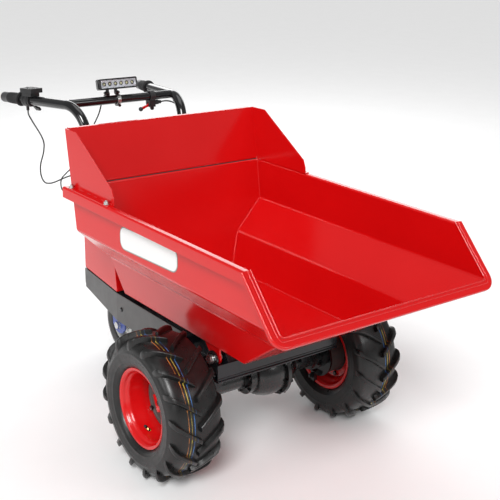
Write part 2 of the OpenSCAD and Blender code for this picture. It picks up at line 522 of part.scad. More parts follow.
// frame carried along the rear leg: +X to the rear end, +Z up
module on_handle(s, d) at() translate(bend_pt(s)) rotate([0, 0, atan2(end_dir(s)[1], end_dir(s)[0])]) rotate([0, asin(-end_dir(s)[2]), 0]) translate([d, 0, 0]) children();
module crossbar() color(black) at() bar_y(-763, 920, bar_r, -190, 190, 48);
module grip(s) color(rubber) on_handle(s, 0) rotate([0, 90, 0]) difference() {
    translate([0, 0, 330]) rotate_extrude($fn = 48) polygon([[0, 0], [23, 0], [24, 2], [24, 6], [19, 8], [17.8, 14], [18.6, 24], [19, 44], [18.4, 62], [17.4, 66], [17.6, 90], [17.4, 102], [15.5, 104.6], [12, 106], [0, 106]]);
    translate([0, 0, 300]) cylinder(r = tube_r + 0.05, h = 132.05, $fn = 48);
}
module grip_right() grip(-1);
module grip_left() grip(1);

// control pod: clamp ring and display housing on the right handle
module control_pod() color(black) on_handle(-1, 0) difference() {
    union() {
        translate([296, 0, 0]) rotate([0, 90, 0]) cylinder(r = 22, h = 10, $fn = 48);
        translate([270, 0, 0]) rotate([0, 90, 0]) cylinder(r = 20.5, h = 8, $fn = 48);
        translate([252, -16, 14]) cube([52, 34, 12]);
        translate([244, -24, 26]) cube([62, 46, 15]);
        translate([301, 0, -35]) cylinder(r = 5, h = 16, $fn = 32);
    }
    translate([301, 0, -40]) cylinder(r = 2.6, h = 14, $fn = 24);
    translate([297, -1, 31]) cylinder(r = 5.4, h = 12, $fn = 32);
    translate([278.5, 0, 0]) rotate([0, 90, 0]) cylinder(r = 22.6, h = 17, $fn = 48);
    translate([200, 0, 0]) rotate([0, 90, 0]) cylinder(r = tube_r + 0.05, h = 160, $fn = 48);
    translate([251, -17, 40]) cube([36, 32, 5]);
}
module display_glass() color("#10141a") on_handle(-1, 0) translate([251.3, -16.7, 40.1]) cube([35.4, 31.4, 1.4]);
module pod_button() color("#5a5c60") on_handle(-1, 0) translate([297, -1, 36]) cylinder(r = 5, h = 7, $fn = 32);
// thumb throttle: ring on the tube with a paddle under the bar
module throttle_lever() color(black) on_handle(-1, 0) difference() {
    union() {
        translate([279, 0, 0]) rotate([0, 90, 0]) cylinder(r = 22, h = 16, $fn = 48);
        translate([279, 0, 0]) rotate([-40, 0, 0]) {
            translate([0, -4, -42]) cube([14, 8, 30]);
            translate([-10, -4, -47]) cube([24, 8, 13]);
        }
    }
    translate([200, 0, 0]) rotate([0, 90, 0]) cylinder(r = tube_r + 0.08, h = 160, $fn = 48);
}

// release lever under the crossbar
rl = [-763, 112, 892];
module lever_body() color(black) at() {
    difference() {
        union() {
            bar_y(-763, 920, bar_r + 5, 103, 121, 48);
            translate([-775, 100, 884]) cube([24, 24, 22]);
            bar_y(-763, 897, 8, 124, 140, 32);
        }
        bar_y(-763, 920, bar_r, 90, 130, 48);
        translate([-767, 80, 880]) cube([8, 36, 19]);
        bar_x(107, 892, 3, -790, -740, 32);
    }
    bar_x(107, 892, 3, -778, -748, 32);
    translate([-763, 117, 878]) sphere(r = 7, $fn = 32);
    translate([-763, 117, 878]) cylinder(r = 3, h = 8, $fn = 24);
    difference() {
        union() {
            bar_y(-763, 897, 4, 139, 152, 24);
            translate([-763, 145, 897]) rotate([-90, 0, 0]) hexhead(11, 5);
        }
        bar_y(-763, 897, 2.6, 150, 160, 24);
    }
}
module release_lever() color(red) at() difference() {
    union() {
        bar_x(107, 892, 6, -766.5, -759.5, 32);
        translate([-763, 107, 892]) rotate([112, 0, 0]) translate([-3, -4, 0]) cube([6, 8, 32]);
    }
    bar_x(107, 892, 3.06, -790, -740, 32);
}
module lever_knob() color(black) at() translate([-763, 107, 892]) rotate([112, 0, 0]) translate([0, 0, 37]) sphere(r = 7.5, $fn = 40);
// ---------- lamp ----------
lamp_y = -18;
hinge = [-762, 944];
foot_a = -61.5;          // outer faces of the two ears of the lamp's foot
foot_b = -14.5;
module tilted() translate([hinge[0], 0, hinge[1]]) rotate([0, -lamp_lean, 0]) translate([-hinge[0], 0, -hinge[1]]) children();
// rounded rectangle in the YZ plane
module rrect(y1, y2, z1, z2, r) {
    translate([y1 + r, z1]) square([y2 - y1 - 2 * r, z2 - z1]);
    translate([y1, z1 + r]) square([y2 - y1, z2 - z1 - 2 * r]);
    for (y = [y1 + r, y2 - r], z = [z1 + r, z2 - r]) translate([y, z]) circle(r = r, $fn = 32);
}
module lamp_frame() color(black) at() tilted() {
    // housing with a bezel, hollow in front for the reflector plate
    difference() {
        ext_x(-772, -742) rrect(lamp_y - 70, lamp_y + 70, 954, 954 + lamp_h, 6);
        ext_x(-748, -738) rrect(lamp_y - 65, lamp_y + 65, 959, 949 + lamp_h, 3);
    }
    for (y = [lamp_y - 60 : 12 : lamp_y + 60]) translate([-784, y - 2, 956]) cube([14, 4, lamp_h - 4]);
    for (y = [foot_a + 4, foot_b - 12]) difference() {
        union() {
            bar_y(hinge[0], hinge[1], 6, y, y + 8, 32);
            translate([-767, y, 946]) cube([10, 8, 9]);
        }
        bar_y(hinge[0], hinge[1], 3.06, -100, 100, 32);
    }
    // reflector plate with a cup for each emitter
    difference() {
        ext_x(-748.5, -745) rrect(lamp_y - 65, lamp_y + 65, 959, 949 + lamp_h, 3);
        for (i = [0 : 5]) translate([-747, lamp_y - 52.5 + 21 * i, 954 + lamp_h / 2]) rotate([0, 90, 0]) cylinder(r1 = 6, r2 = 9, h = 3, $fn = 32);
    }
    for (i = [0 : 5]) translate([-748, lamp_y - 52.5 + 21 * i, 954 + lamp_h / 2]) rotate([0, 90, 0]) cylinder(r = 3.2, h = 2, $fn = 24);
}
module lamp_lens() color([0.9, 0.95, 1, 0.3]) at() tilted() ext_x(-744.4, -742.8) rrect(lamp_y - 64.9, lamp_y + 64.9, 959.1, 948.9 + lamp_h, 2.9);
// foot with two ears and the hinge screws, clamped on the crossbar
module lamp_bracket() color(black) at() {
    difference() {
        union() {
            box([-770.5, foot_a, 934], [-755, foot_b, 936.5]);
            for (s = [-1, 1]) {
                y1 = s > 0 ? foot_b - 3 : foot_a;
                box([-768, y1, 935], [-756, y1 + 3, 944]);
                bar_y(hinge[0], hinge[1], 6, y1, y1 + 3, 32);
                bar_y(hinge[0], hinge[1], 3, s > 0 ? foot_b - 12.5 : foot_a - 0.5, s > 0 ? foot_b + 0.5 : foot_a + 12.5, 32);
                translate([hinge[0], s > 0 ? foot_b : foot_a, hinge[1]]) rotate([s > 0 ? -90 : 90, 0, 0]) hexhead(9, 4);
            }
            box([-777, -53, 934], [-769.5, -41, 943]);
            bar_y(-763, 920, bar_r + 3, -25, -9, 48);
            box([-768, -25, 932], [-756, -14.5, 936]);
            box([-768, -23, 899], [-758, -11, 907]);
            bar_x(-17, 902, 2.6, -774, -750, 24);
            translate([-750, -17, 902]) rotate([0, 90, 0]) hexhead(9, 4);
        }
        bar_y(-763, 920, bar_r, -90, 60, 48);
        bar_x(-47, 939, 2.4, -780, -776.4, 24);
    }
}

// ---------- leads ----------
function leg_pt(s, z) = low_pt(s) + (z - 373) / (bend_z - 373) * (bend_pt(s) - low_pt(s));
function leg_dir(s) = unit(bend_pt(s) - low_pt(s));
// line the release cable keeps beside the left tube
function tied(z) = leg_pt(1, z) + [-14.4, 12.7, 0];
// throttle and display lead hanging from the control pod to the battery bay
function on_pod(d, z) = bend_pt(-1) + d * end_dir(-1) + z * unit([0, 0, 1] - end_dir(-1)[2] * end_dir(-1));
throttle_route = [on_pod(301, -25.7), on_pod(301, -40), [-968, -243, 856], [-940, -240, 832], [-909, -232, 800], [-900, -225, 770], [-916, -222, 730], [-940, -222, 690], [-942, -222, 652],
    [-922, -217, 628], [-890, -200, 633], [-850, -168, 657], [-800, -138, 672], [-745, -118, 660], [-704, -110, 620], [-690, -110, 585], [-690, -110, 559.7]];
// lamp lead falling behind the headboard
lamp_route = [[-776.7, -47, 939], [-787, -50, 934], [-789, -62, 908], [-780, -78, 876], [-784, -102, 830], [-815, -130, 750], [-858, -150, 682], [-880, -175, 645],
    [-868, -178, 605], [-820, -150, 600], [-760, -110, 625], [-712, -72, 618], [-690, -60, 588], [-690, -60, 559.7]];
// release cable, tied along the left tube
release_route = [[-763, 149.7, 897], [-762, 172, 898], [-755, 196, 892], [-738, 212, 874], [-706, 208, 836], tied(790), tied(770), tied(690), tied(630), [-676, 158, 604], [-690, 122, 596], [-690, 110, 584], [-690, 110, 559.7]];
module throttle_lead() color(rubber) at() sweep(throttle_route, 2.4, 2, 8, [0, 1, 0]);
module lamp_lead() color(rubber) at() sweep(lamp_route, 2.2, 2, 8, [0, 1, 0]);
module release_cable() color(rubber) at() sweep(release_route, 2.4, 2, 8, [0, 0, 1]);
module tie(z) difference() {
    union() {
        rod(leg_pt(1, z) - 2.5 * leg_dir(1), leg_pt(1, z) + 2.5 * leg_dir(1), tube_r + 1.6, 48);
        rod(tied(z) - 2.5 * leg_dir(1), tied(z) + 2.5 * leg_dir(1), 4.2, 32);
    }
    rod(leg_pt(1, z) - 6 * leg_dir(1), leg_pt(1, z) + 6 * leg_dir(1), tube_r + 0.02, 48);
    rod(tied(z) - 6 * leg_dir(1), tied(z) + 6 * leg_dir(1), 2.6, 24);
}
module gland(q) translate([q[0], q[1], 0]) difference() {
    union() {
        translate([0, 0, 560]) cylinder(r = 9, h = 5, $fn = 32);
        translate([0, 0, 565]) cylinder(r = 7, h = 10, $fn = 32);
        translate([0, 0, 550]) cylinder(r = 4.9, h = 11, $fn = 32);
    }
    translate([0, 0, 560]) cylinder(r = 2.6, h = 20, $fn = 24);
}
module cable_fittings() color(black) at() {
    for (q = [[-690, -110], [-690, -60], [-690, 110]]) gland(q);
    for (z = [770, 690]) tie(z);
}

side_right();
side_left();
hopper_right();
hopper_left();
rear_wall();
tray_floor();
mouth_frame();
headboard();
headboard_bolts();
tray_ears();
rail_right();
rail_left();
front_beam();
cross_members();
pivot_brackets();
pivot_pins();
axle_housing();
housing_bolts();
drive_motor();
brake_backs();
skirt();
frame_brackets();
skirt_screws();
battery_cover();
cable_fittings();
battery_pack();
motor_controller();
caster_plate();
caster_fork();
caster_axle();
caster_tyre();
caster_rim();
tyre_right();
tyre_left();
rim_right();
rim_left();
hub_right();
hub_left();
wheel_bolts_right();
wheel_bolts_left();
valve_right();
valve_left();
tube_right();
tube_left();
crossbar();
grip_right();
grip_left();
control_pod();
display_glass();
pod_button();
throttle_lever();
lever_body();
release_lever();
lever_knob();
lamp_frame();
lamp_lens();
lamp_bracket();
throttle_lead();
lamp_lead();
release_cable();
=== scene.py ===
import json
import math
import random

import bpy
import bmesh
from mathutils import Matrix, Vector


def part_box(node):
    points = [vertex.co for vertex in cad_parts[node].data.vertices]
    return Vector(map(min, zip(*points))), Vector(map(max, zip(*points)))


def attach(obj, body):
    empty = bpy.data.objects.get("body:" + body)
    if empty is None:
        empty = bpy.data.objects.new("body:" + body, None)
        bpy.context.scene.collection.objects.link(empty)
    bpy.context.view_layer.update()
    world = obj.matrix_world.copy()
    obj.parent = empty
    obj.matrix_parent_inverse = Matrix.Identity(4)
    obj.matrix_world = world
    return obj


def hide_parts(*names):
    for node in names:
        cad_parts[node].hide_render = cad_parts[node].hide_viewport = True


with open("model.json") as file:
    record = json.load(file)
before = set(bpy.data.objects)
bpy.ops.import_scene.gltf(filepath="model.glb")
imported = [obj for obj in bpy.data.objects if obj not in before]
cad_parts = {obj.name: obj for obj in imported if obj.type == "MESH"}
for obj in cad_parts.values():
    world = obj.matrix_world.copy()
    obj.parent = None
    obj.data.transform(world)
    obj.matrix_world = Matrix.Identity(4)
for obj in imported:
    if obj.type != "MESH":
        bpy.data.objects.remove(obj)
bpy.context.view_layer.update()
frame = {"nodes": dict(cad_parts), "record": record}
N = frame["nodes"]
rng = random.Random(7)
bar_lo, bar_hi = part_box("crossbar")
X0 = (bar_lo[0] + bar_hi[0]) / 2 + 0.763
scene = bpy.context.scene


def P(x, y, z):
    """Millimetres measured from the front axle's centre plane, to the row frame in metres."""
    return Vector((x / 1000 + X0, y / 1000, z / 1000))


# ------------------------------------------------------------------ camera
def make_camera():
    az, el, roll = math.radians(36.9009), math.radians(18.4079), math.radians(1.0004)
    d = Vector((math.cos(el) * math.cos(az), -math.cos(el) * math.sin(az), math.sin(el)))
    right = Vector((math.sin(az), math.cos(az), 0))
    up = Vector((-math.sin(el) * math.cos(az), math.sin(el) * math.sin(az), math.cos(el)))
    c, s = math.cos(roll), math.sin(roll)
    r2, u2 = c * right + s * up, -s * right + c * up
    cam = bpy.data.cameras.new("camera")
    ob = bpy.data.objects.new("camera", cam)
    scene.collection.objects.link(ob)
    m = Matrix((r2, u2, d)).transposed().to_4x4()
    m.translation = Vector((2.1268 + X0, -1.6240, 1.4897))
    ob.matrix_world = m
    cam.sensor_width = 36
    cam.lens = 988.33 / 500 * 36
    cam.clip_start, cam.clip_end = 0.05, 200
    scene.camera = ob
    return ob


make_camera()


# ------------------------------------------------------------------ materials
def mat(name, col, rough=0.4, metal=0.0, coat=0.0, coat_rough=0.08, tint=0.06, tint_scale=5.0, rvar=0.08, rscale=18.0,
        bumps=(), spec=0.5, dust=0.0, dust_col=(0.42, 0.38, 0.33), speck=0.0, sheen=0.0, second=None, second_amount=0.0, second_scale=30.0,
        stretch=(1, 1, 1), aniso=0.0):
    m = bpy.data.materials.new(name)
    m.use_nodes = True
    nt = m.node_tree
    nt.nodes.clear()
    nd, ln = nt.nodes.new, nt.links.new
    out, b = nd("ShaderNodeOutputMaterial"), nd("ShaderNodeBsdfPrincipled")
    ln(b.outputs[0], out.inputs[0])
    tc, mp = nd("ShaderNodeTexCoord"), nd("ShaderNodeMapping")
    ln(tc.outputs["Object"], mp.inputs[0])
    mp.inputs["Scale"].default_value = stretch
    V = mp.outputs[0]

    def noise(scale, detail=4.0, rough_=0.55, dist=0.0, src=V):
        n = nd("ShaderNodeTexNoise")
        n.inputs["Scale"].default_value = scale
        n.inputs["Detail"].default_value = detail
        n.inputs["Roughness"].default_value = rough_
        n.inputs["Distortion"].default_value = dist
        ln(src, n.inputs["Vector"])
        return n.outputs["Fac"]

    def rng_(src, a, bb, lo, hi):
        r = nd("ShaderNodeMapRange")
        r.inputs["From Min"].default_value, r.inputs["From Max"].default_value = a, bb
        r.inputs["To Min"].default_value, r.inputs["To Max"].default_value = lo, hi
        ln(src, r.inputs["Value"])
        return r.outputs["Result"]

    def mixc(f, a, c):
        x = nd("ShaderNodeMix")
        x.data_type = "RGBA"
        if isinstance(f, float):
            x.inputs["Factor"].default_value = f
        else:
            ln(f, x.inputs["Factor"])
        for sock, v in ((x.inputs["A"], a), (x.inputs["B"], c)):
            if isinstance(v, tuple):
                sock.default_value = (*v, 1.0)
            else:
                ln(v, sock)
        return x.outputs["Result"]

    dark = tuple(max(0.0, v * (1 - tint)) for v in col)
    light = tuple(min(1.0, v * (1 + tint) + 0.002 * tint) for v in col)
    colour = mixc(rng_(noise(tint_scale, 5.0), 0.3, 0.7, 0.0, 1.0), dark, light)
    if second is not None:
        colour = mixc(rng_(noise(second_scale, 6.0, 0.7, 0.4), 0.52, 0.72, 0.0, second_amount), colour, second)
    if speck > 0:
        colour = mixc(rng_(noise(1400.0, 1.0), 0.62, 0.75, 0.0, speck), colour, (0.55, 0.53, 0.5))
    roughness = rng_(noise(rscale, 6.0, 0.62), 0.3, 0.7, max(0.02, rough - rvar), min(1.0, rough + rvar))
    if dust > 0:
        geo, sep = nd("ShaderNodeNewGeometry"), nd("ShaderNodeSeparateXYZ")
        ln(geo.outputs["Normal"], sep.inputs[0])
        upw = rng_(sep.outputs["Z"], 0.2, 1.0, 0.15, 1.0)
        mul = nd("ShaderNodeMath")
        mul.operation = "MULTIPLY"
        ln(rng_(noise(9.0, 8.0, 0.68), 0.42, 0.78, 0.0, dust), mul.inputs[0])
        ln(upw, mul.inputs[1])
        colour = mixc(mul.outputs[0], colour, dust_col)
    ln(colour, b.inputs["Base Color"])
    ln(roughness, b.inputs["Roughness"])
    b.inputs["Metallic"].default_value = metal
    b.inputs["Specular IOR Level"].default_value = spec
    b.inputs["Coat Weight"].default_value = coat
    b.inputs["Coat Roughness"].default_value = coat_rough
    if sheen:
        b.inputs["Sheen Weight"].default_value = sheen
        b.inputs["Sheen Roughness"].default_value = 0.5
    if aniso:
        b.inputs["Anisotropic"].default_value = aniso
    prev = None
    for sc_, dist_, det_, kind in bumps:
        bp = nd("ShaderNodeBump")
        bp.inputs["Strength"].default_value = 1.0
        bp.inputs["Distance"].default_value = dist_
        if kind == "voronoi":
            v = nd("ShaderNodeTexVoronoi")
            v.inputs["Scale"].default_value = sc_
            ln(V, v.inputs["Vector"])
            ln(v.outputs["Distance"], bp.inputs["Height"])
        else:
            ln(noise(sc_, det_, 0.6), bp.inputs["Height"])
        if prev is not None:
            ln(prev, bp.inputs["Normal"])
        prev = bp.outputs[0]
    if prev is not None:
        ln(prev, b.inputs["Normal"])
    return m


RED = (0.60, 0.0035, 0.0042)
M = {}
M["red_paint"] = mat("red_powder_coat", RED, rough=0.17, coat=0.0, tint=0.03, tint_scale=3.0, rvar=0.04, rscale=6.0, spec=0.48,
                     bumps=((420.0, 0.000006, 2.0, "noise"), (3.0, 0.0006, 1.0, "noise")))
M["red_rim"] = mat("red_rim_enamel", (0.56, 0.0035, 0.0045), rough=0.2, coat=0.1, coat_rough=0.06, tint=0.05, rvar=0.05, rscale=30.0, spec=0.45,
                   bumps=((500.0, 0.00001, 2.0, "noise"), (60.0, 0.0001, 2.0, "noise")), dust=0.02)
M["slate_paint"] = mat("slate_powder_coat", (0.006, 0.007, 0.0095), rough=0.22, coat=0.2, tint=0.12, rvar=0.06, spec=0.4,
                       bumps=((600.0, 0.00006, 2.0, "noise"), (50.0, 0.0002, 2.0, "noise")), dust=0.04, dust_col=(0.12, 0.115, 0.11))
M["black_paint"] = mat("black_powder_coat", (0.006, 0.006, 0.0068), rough=0.13, coat=0.35, coat_rough=0.03, tint=0.15, rvar=0.04,
                       bumps=((700.0, 0.00001, 2.0, "noise"), (20.0, 0.0001, 2.0, "noise")), dust=0.01, dust_col=(0.16, 0.155, 0.15))
M["grey_sheet"] = mat("grey_powder_coat", (0.075, 0.073, 0.072), rough=0.46, coat=0.08, tint=0.1, rvar=0.09,
                      bumps=((600.0, 0.00007, 2.0, "noise"), (28.0, 0.0006, 2.0, "noise")), dust=0.18, dust_col=(0.26, 0.25, 0.24))
M["zinc"] = mat("zinc_plate", (0.60, 0.61, 0.60), rough=0.3, metal=1.0, tint=0.1, tint_scale=22.0, rvar=0.1, rscale=60.0,
                bumps=((900.0, 0.00003, 3.0, "noise"),), second=(0.62, 0.55, 0.38), second_amount=0.35, second_scale=26.0)
M["cast_iron"] = mat("painted_casting", (0.007, 0.007, 0.0075), rough=0.28, coat=0.3, coat_rough=0.1, tint=0.25, rvar=0.1, rscale=40.0,
                     bumps=((240.0, 0.0003, 5.0, "noise"), (900.0, 0.0001, 2.0, "noise")), dust=0.05, dust_col=(0.15, 0.14, 0.13))
M["tyre_rubber"] = mat("tyre_rubber", (0.0075, 0.0074, 0.0074), rough=0.34, tint=0.22, tint_scale=9.0, rvar=0.12, rscale=35.0, spec=0.45,
                       bumps=((520.0, 0.00009, 4.0, "noise"), (90.0, 0.0003, 4.0, "noise")), dust=0.05, dust_col=(0.07, 0.066, 0.062), speck=0.04)


def tread_lines(m):
    """Coloured lines round the tread, in the tyre's own coordinates across the wheel."""
    nt = m.node_tree
    nd, ln = nt.nodes.new, nt.links.new
    bsdf = next(n for n in nt.nodes if n.type == "BSDF_PRINCIPLED")
    src = bsdf.inputs["Base Color"].links[0].from_socket
    tc, sep, ab = nd("ShaderNodeTexCoord"), nd("ShaderNodeSeparateXYZ"), nd("ShaderNodeMath")
    ln(tc.outputs["Object"], sep.inputs[0])
    ab.operation = "ABSOLUTE"
    ln(sep.outputs["Y"], ab.inputs[0])
    wear, wr = nd("ShaderNodeTexNoise"), nd("ShaderNodeMapRange")
    wear.inputs["Scale"].default_value = 38.0
    wear.inputs["Detail"].default_value = 5.0
    ln(tc.outputs["Object"], wear.inputs["Vector"])
    ln(wear.outputs["Fac"], wr.inputs["Value"])
    wr.inputs["From Min"].default_value, wr.inputs["From Max"].default_value = 0.36, 0.56
    wr.inputs["To Min"].default_value, wr.inputs["To Max"].default_value = 0.15, 0.9
    cen, ln2 = nd("ShaderNodeCombineXYZ"), nd("ShaderNodeVectorMath")
    ln2.operation = "LENGTH"
    dx, dz = nd("ShaderNodeMath"), nd("ShaderNodeMath")
    dx.operation = dz.operation = "SUBTRACT"
    ln(sep.outputs["X"], dx.inputs[0])
    ln(sep.outputs["Z"], dz.inputs[0])
    dx.inputs[1].default_value, dz.inputs[1].default_value = X0, 0.212
    ln(dx.outputs[0], cen.inputs["X"])
    ln(dz.outputs[0], cen.inputs["Z"])
    ln(cen.outputs[0], ln2.inputs[0])
    high = nd("ShaderNodeMapRange")
    high.inputs["From Min"].default_value, high.inputs["From Max"].default_value = 0.1995, 0.2005
    high.inputs["To Min"].default_value, high.inputs["To Max"].default_value = 1.0, 0.22
    ln(ln2.outputs["Value"], high.inputs["Value"])
    both = nd("ShaderNodeMath")
    both.operation = "MULTIPLY"
    ln(wr.outputs["Result"], both.inputs[0])
    ln(high.outputs["Result"], both.inputs[1])
    for at_y, half, colour in ((0.3621, 0.0010, (0.62, 0.22, 0.045)), (0.3532, 0.0010, (0.60, 0.47, 0.07)), (0.3445, 0.0010, (0.06, 0.20, 0.52))):
        cmp_, mul, mix = nd("ShaderNodeMath"), nd("ShaderNodeMath"), nd("ShaderNodeMix")
        cmp_.operation = "COMPARE"
        ln(ab.outputs[0], cmp_.inputs[0])
        cmp_.inputs[1].default_value, cmp_.inputs[2].default_value = at_y, half
        mul.operation = "MULTIPLY"
        ln(cmp_.outputs[0], mul.inputs[0])
        ln(both.outputs[0], mul.inputs[1])
        mix.data_type = "RGBA"
        ln(mul.outputs[0], mix.inputs["Factor"])
        ln(src, mix.inputs["A"])
        mix.inputs["B"].default_value = (*colour, 1.0)
        src = mix.outputs["Result"]
    ln(src, bsdf.inputs["Base Color"])


tread_lines(M["tyre_rubber"])
M["grip_rubber"] = mat("grip_rubber", (0.013, 0.013, 0.0135), rough=0.6, tint=0.2, rvar=0.1, spec=0.45,
                       bumps=((1200.0, 0.00008, 3.0, "noise"),), dust=0.08, dust_col=(0.12, 0.12, 0.12))
M["black_plastic"] = mat("black_moulding", (0.014, 0.014, 0.015), rough=0.45, tint=0.12, rvar=0.08,
                         bumps=((1500.0, 0.00006, 2.0, "voronoi"),), dust=0.04, dust_col=(0.14, 0.14, 0.14))
M["grey_plastic"] = mat("grey_moulding", (0.16, 0.165, 0.17), rough=0.42, tint=0.06, rvar=0.06, bumps=((1500.0, 0.00005, 2.0, "voronoi"),))
M["blue_paint"] = mat("blue_enamel", (0.02, 0.055, 0.30), rough=0.3, coat=0.3, tint=0.1, rvar=0.08,
                      bumps=((500.0, 0.00006, 2.0, "noise"), (60.0, 0.0003, 2.0, "noise")), dust=0.1, dust_col=(0.25, 0.25, 0.27))
M["battery_case"] = mat("battery_case", (0.02, 0.021, 0.023), rough=0.5, tint=0.1, bumps=((1100.0, 0.00007, 2.0, "voronoi"),), dust=0.1)
M["aluminium"] = mat("cast_aluminium", (0.55, 0.56, 0.57), rough=0.42, metal=1.0, tint=0.07, bumps=((500.0, 0.0001, 3.0, "noise"),))
M["display"] = mat("display_window", (0.01, 0.012, 0.016), rough=0.12, coat=0.6, coat_rough=0.03, tint=0.3, rvar=0.03, bumps=((60.0, 0.00003, 1.0, "noise"),))
M["cable"] = mat("cable_sheath", (0.011, 0.011, 0.0115), rough=0.42, tint=0.15, rvar=0.08, bumps=((1400.0, 0.00004, 2.0, "noise"),))
M["hub_grey"] = mat("grey_hub_casting", (0.06, 0.057, 0.054), rough=0.5, tint=0.15, rvar=0.1, rscale=40.0, bumps=((240.0, 0.0003, 5.0, "noise"),), dust=0.1, dust_col=(0.15, 0.14, 0.13))
M["grip_end"] = mat("grip_end_cap", (0.05, 0.05, 0.052), rough=0.38, tint=0.1, rvar=0.06, bumps=((1200.0, 0.00004, 2.0, "noise"),))
M["lens"] = bpy.data.materials.new("clear_lens")


def lens_material(m):
    m.use_nodes = True
    b = m.node_tree.nodes["Principled BSDF"]
    b.inputs["Base Color"].default_value = (0.95, 0.97, 1, 1)
    b.inputs["Transmission Weight"].default_value = 1.0
    b.inputs["IOR"].default_value = 1.45
    n = m.node_tree.nodes.new("ShaderNodeTexNoise")
    n.inputs["Scale"].default_value = 90
    r = m.node_tree.nodes.new("ShaderNodeMapRange")
    r.inputs["To Min"].default_value, r.inputs["To Max"].default_value = 0.0, 0.03
    m.node_tree.links.new(n.outputs["Fac"], r.inputs["Value"])
    m.node_tree.links.new(r.outputs["Result"], b.inputs["Roughness"])


lens_material(M["lens"])
M["reflector"] = mat("white_reflector", (0.90, 0.91, 0.92), rough=0.3, coat=0.3, tint=0.03, bumps=((700.0, 0.00003, 2.0, "noise"),))
M["led"] = mat("led_phosphor", (0.86, 0.80, 0.45), rough=0.35, coat=0.7, coat_rough=0.03, tint=0.1, tint_scale=200.0)
M["brass"] = mat("brass", (0.72, 0.50, 0.20), rough=0.28, metal=1.0, tint=0.12, tint_scale=60.0, rvar=0.1, bumps=((900.0, 0.00004, 3.0, "noise"),))
M["steel"] = mat("polished_steel", (0.66, 0.66, 0.66), rough=0.18, metal=1.0, tint=0.06, rvar=0.08, rscale=80.0, bumps=((700.0, 0.00002, 3.0, "noise"),))
M["weld"] = mat("painted_weld", (0.62, 0.012, 0.013), rough=0.1, coat=0.5, tint=0.08, tint_scale=60.0, rvar=0.1, bumps=((700.0, 0.00007, 3.0, "noise"),))
M["decal_white"] = mat("decal_white", (0.80, 0.80, 0.79), rough=0.35, coat=0.3, tint=0.02, bumps=((500.0, 0.00002, 2.0, "noise"),))
M["decal_grey"] = mat("decal_grey", (0.19, 0.22, 0.20), rough=0.35, coat=0.3, tint=0.04, bumps=((500.0, 0.00002, 2.0, "noise"),))


# ------------------------------------------------------------------ mesh tools
def link(name, me, body, mats, slot=None, replaces=()):
    o = bpy.data.objects.new(name, me)
    scene.collection.objects.link(o)
    for m in mats if isinstance(mats, (list, tuple)) else [mats]:
        me.materials.append(M[m])
    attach(o, body)
    if replaces:
        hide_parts(*replaces)
    return o


def finish_mesh(me, angle=35.0, normals=True):
    bm = bmesh.new()
    bm.from_mesh(me)
    bmesh.ops.remove_doubles(bm, verts=bm.verts, dist=1e-6)
    if normals:
        bmesh.ops.recalc_face_normals(bm, faces=bm.faces)
    bm.to_mesh(me)
    bm.free()
    for p in me.polygons:
        p.use_smooth = True
    if angle:
        me.set_sharp_from_angle(angle=math.radians(angle))
    me.update()


def mesh(name, verts, faces, angle=35.0, normals=True):
    me = bpy.data.meshes.new(name)
    me.from_pydata([tuple(v) for v in verts], [], [tuple(f) for f in faces])
    finish_mesh(me, angle, normals)
    return me


def modifiers(o, bevel=0.0, segments=2, limit=50.0, weighted=True, fold=0.0, fold_limit=12.0, thick=0.0, offset=1.0, fold_segments=4, weld=False):
    if weld:
        w = o.modifiers.new("weld", "WELD")
        w.merge_threshold = 1e-5
    if fold:
        b = o.modifiers.new("fold", "BEVEL")
        b.width, b.segments, b.limit_method, b.angle_limit = fold, fold_segments, "ANGLE", math.radians(fold_limit)
    if thick:
        s = o.modifiers.new("thickness", "SOLIDIFY")
        s.thickness, s.offset, s.use_even_offset = thick, offset, True
    if bevel:
        b = o.modifiers.new("edge", "BEVEL")
        b.width, b.segments, b.limit_method, b.angle_limit = bevel, segments, "ANGLE", math.radians(limit)
        b.miter_outer = "MITER_SHARP"
        b.use_clamp_overlap = True
    if weighted:
        n = o.modifiers.new("normals", "WEIGHTED_NORMAL")
        n.keep_sharp = True
        n.weight = 50


def sheet(name, polys, body, material, thick, offset, fold=0.005, slot="red_paint", replaces=(), bevel=0.0007, flip=False):
    """Bent sheet metal from the flat polygons of one of its faces."""
    index, verts, faces = {}, [], []
    for poly in polys:
        f = []
        for p in poly:
            k = tuple(round(c, 6) for c in p)
            if k not in index:
                index[k] = len(verts)
                verts.append(p)
            f.append(index[k])
        faces.append(f[::-1] if flip else f)
    me = bpy.data.meshes.new(name)
    me.from_pydata([tuple(v) for v in verts], [], faces)
    if offset == 0.0:
        bm = bmesh.new()
        bm.from_mesh(me)
        bmesh.ops.recalc_face_normals(bm, faces=bm.faces)
        bm.to_mesh(me)
        bm.free()
    for p in me.polygons:
        p.use_smooth = True
    o = link(name, me, body, material, slot, replaces)
    modifiers(o, bevel=bevel, fold=fold, thick=thick, offset=offset)
    return o


def revolve(profile, to_world, segs=128, closed=True, phase=0.0):
    """Rings of a profile of (radius, along) turned about the local Z axis."""
    verts, faces, n = [], [], len(profile)
    for i in range(segs):
        a = 2 * math.pi * i / segs + phase
        for r, w in profile:
            verts.append(to_world(r * math.cos(a), r * math.sin(a), w))
    for i in range(segs):
        j = (i + 1) % segs
        for k in range(n if closed else n - 1):
            l = (k + 1) % n
            faces.append((i * n + k, j * n + k, j * n + l, i * n + l))
    return verts, faces


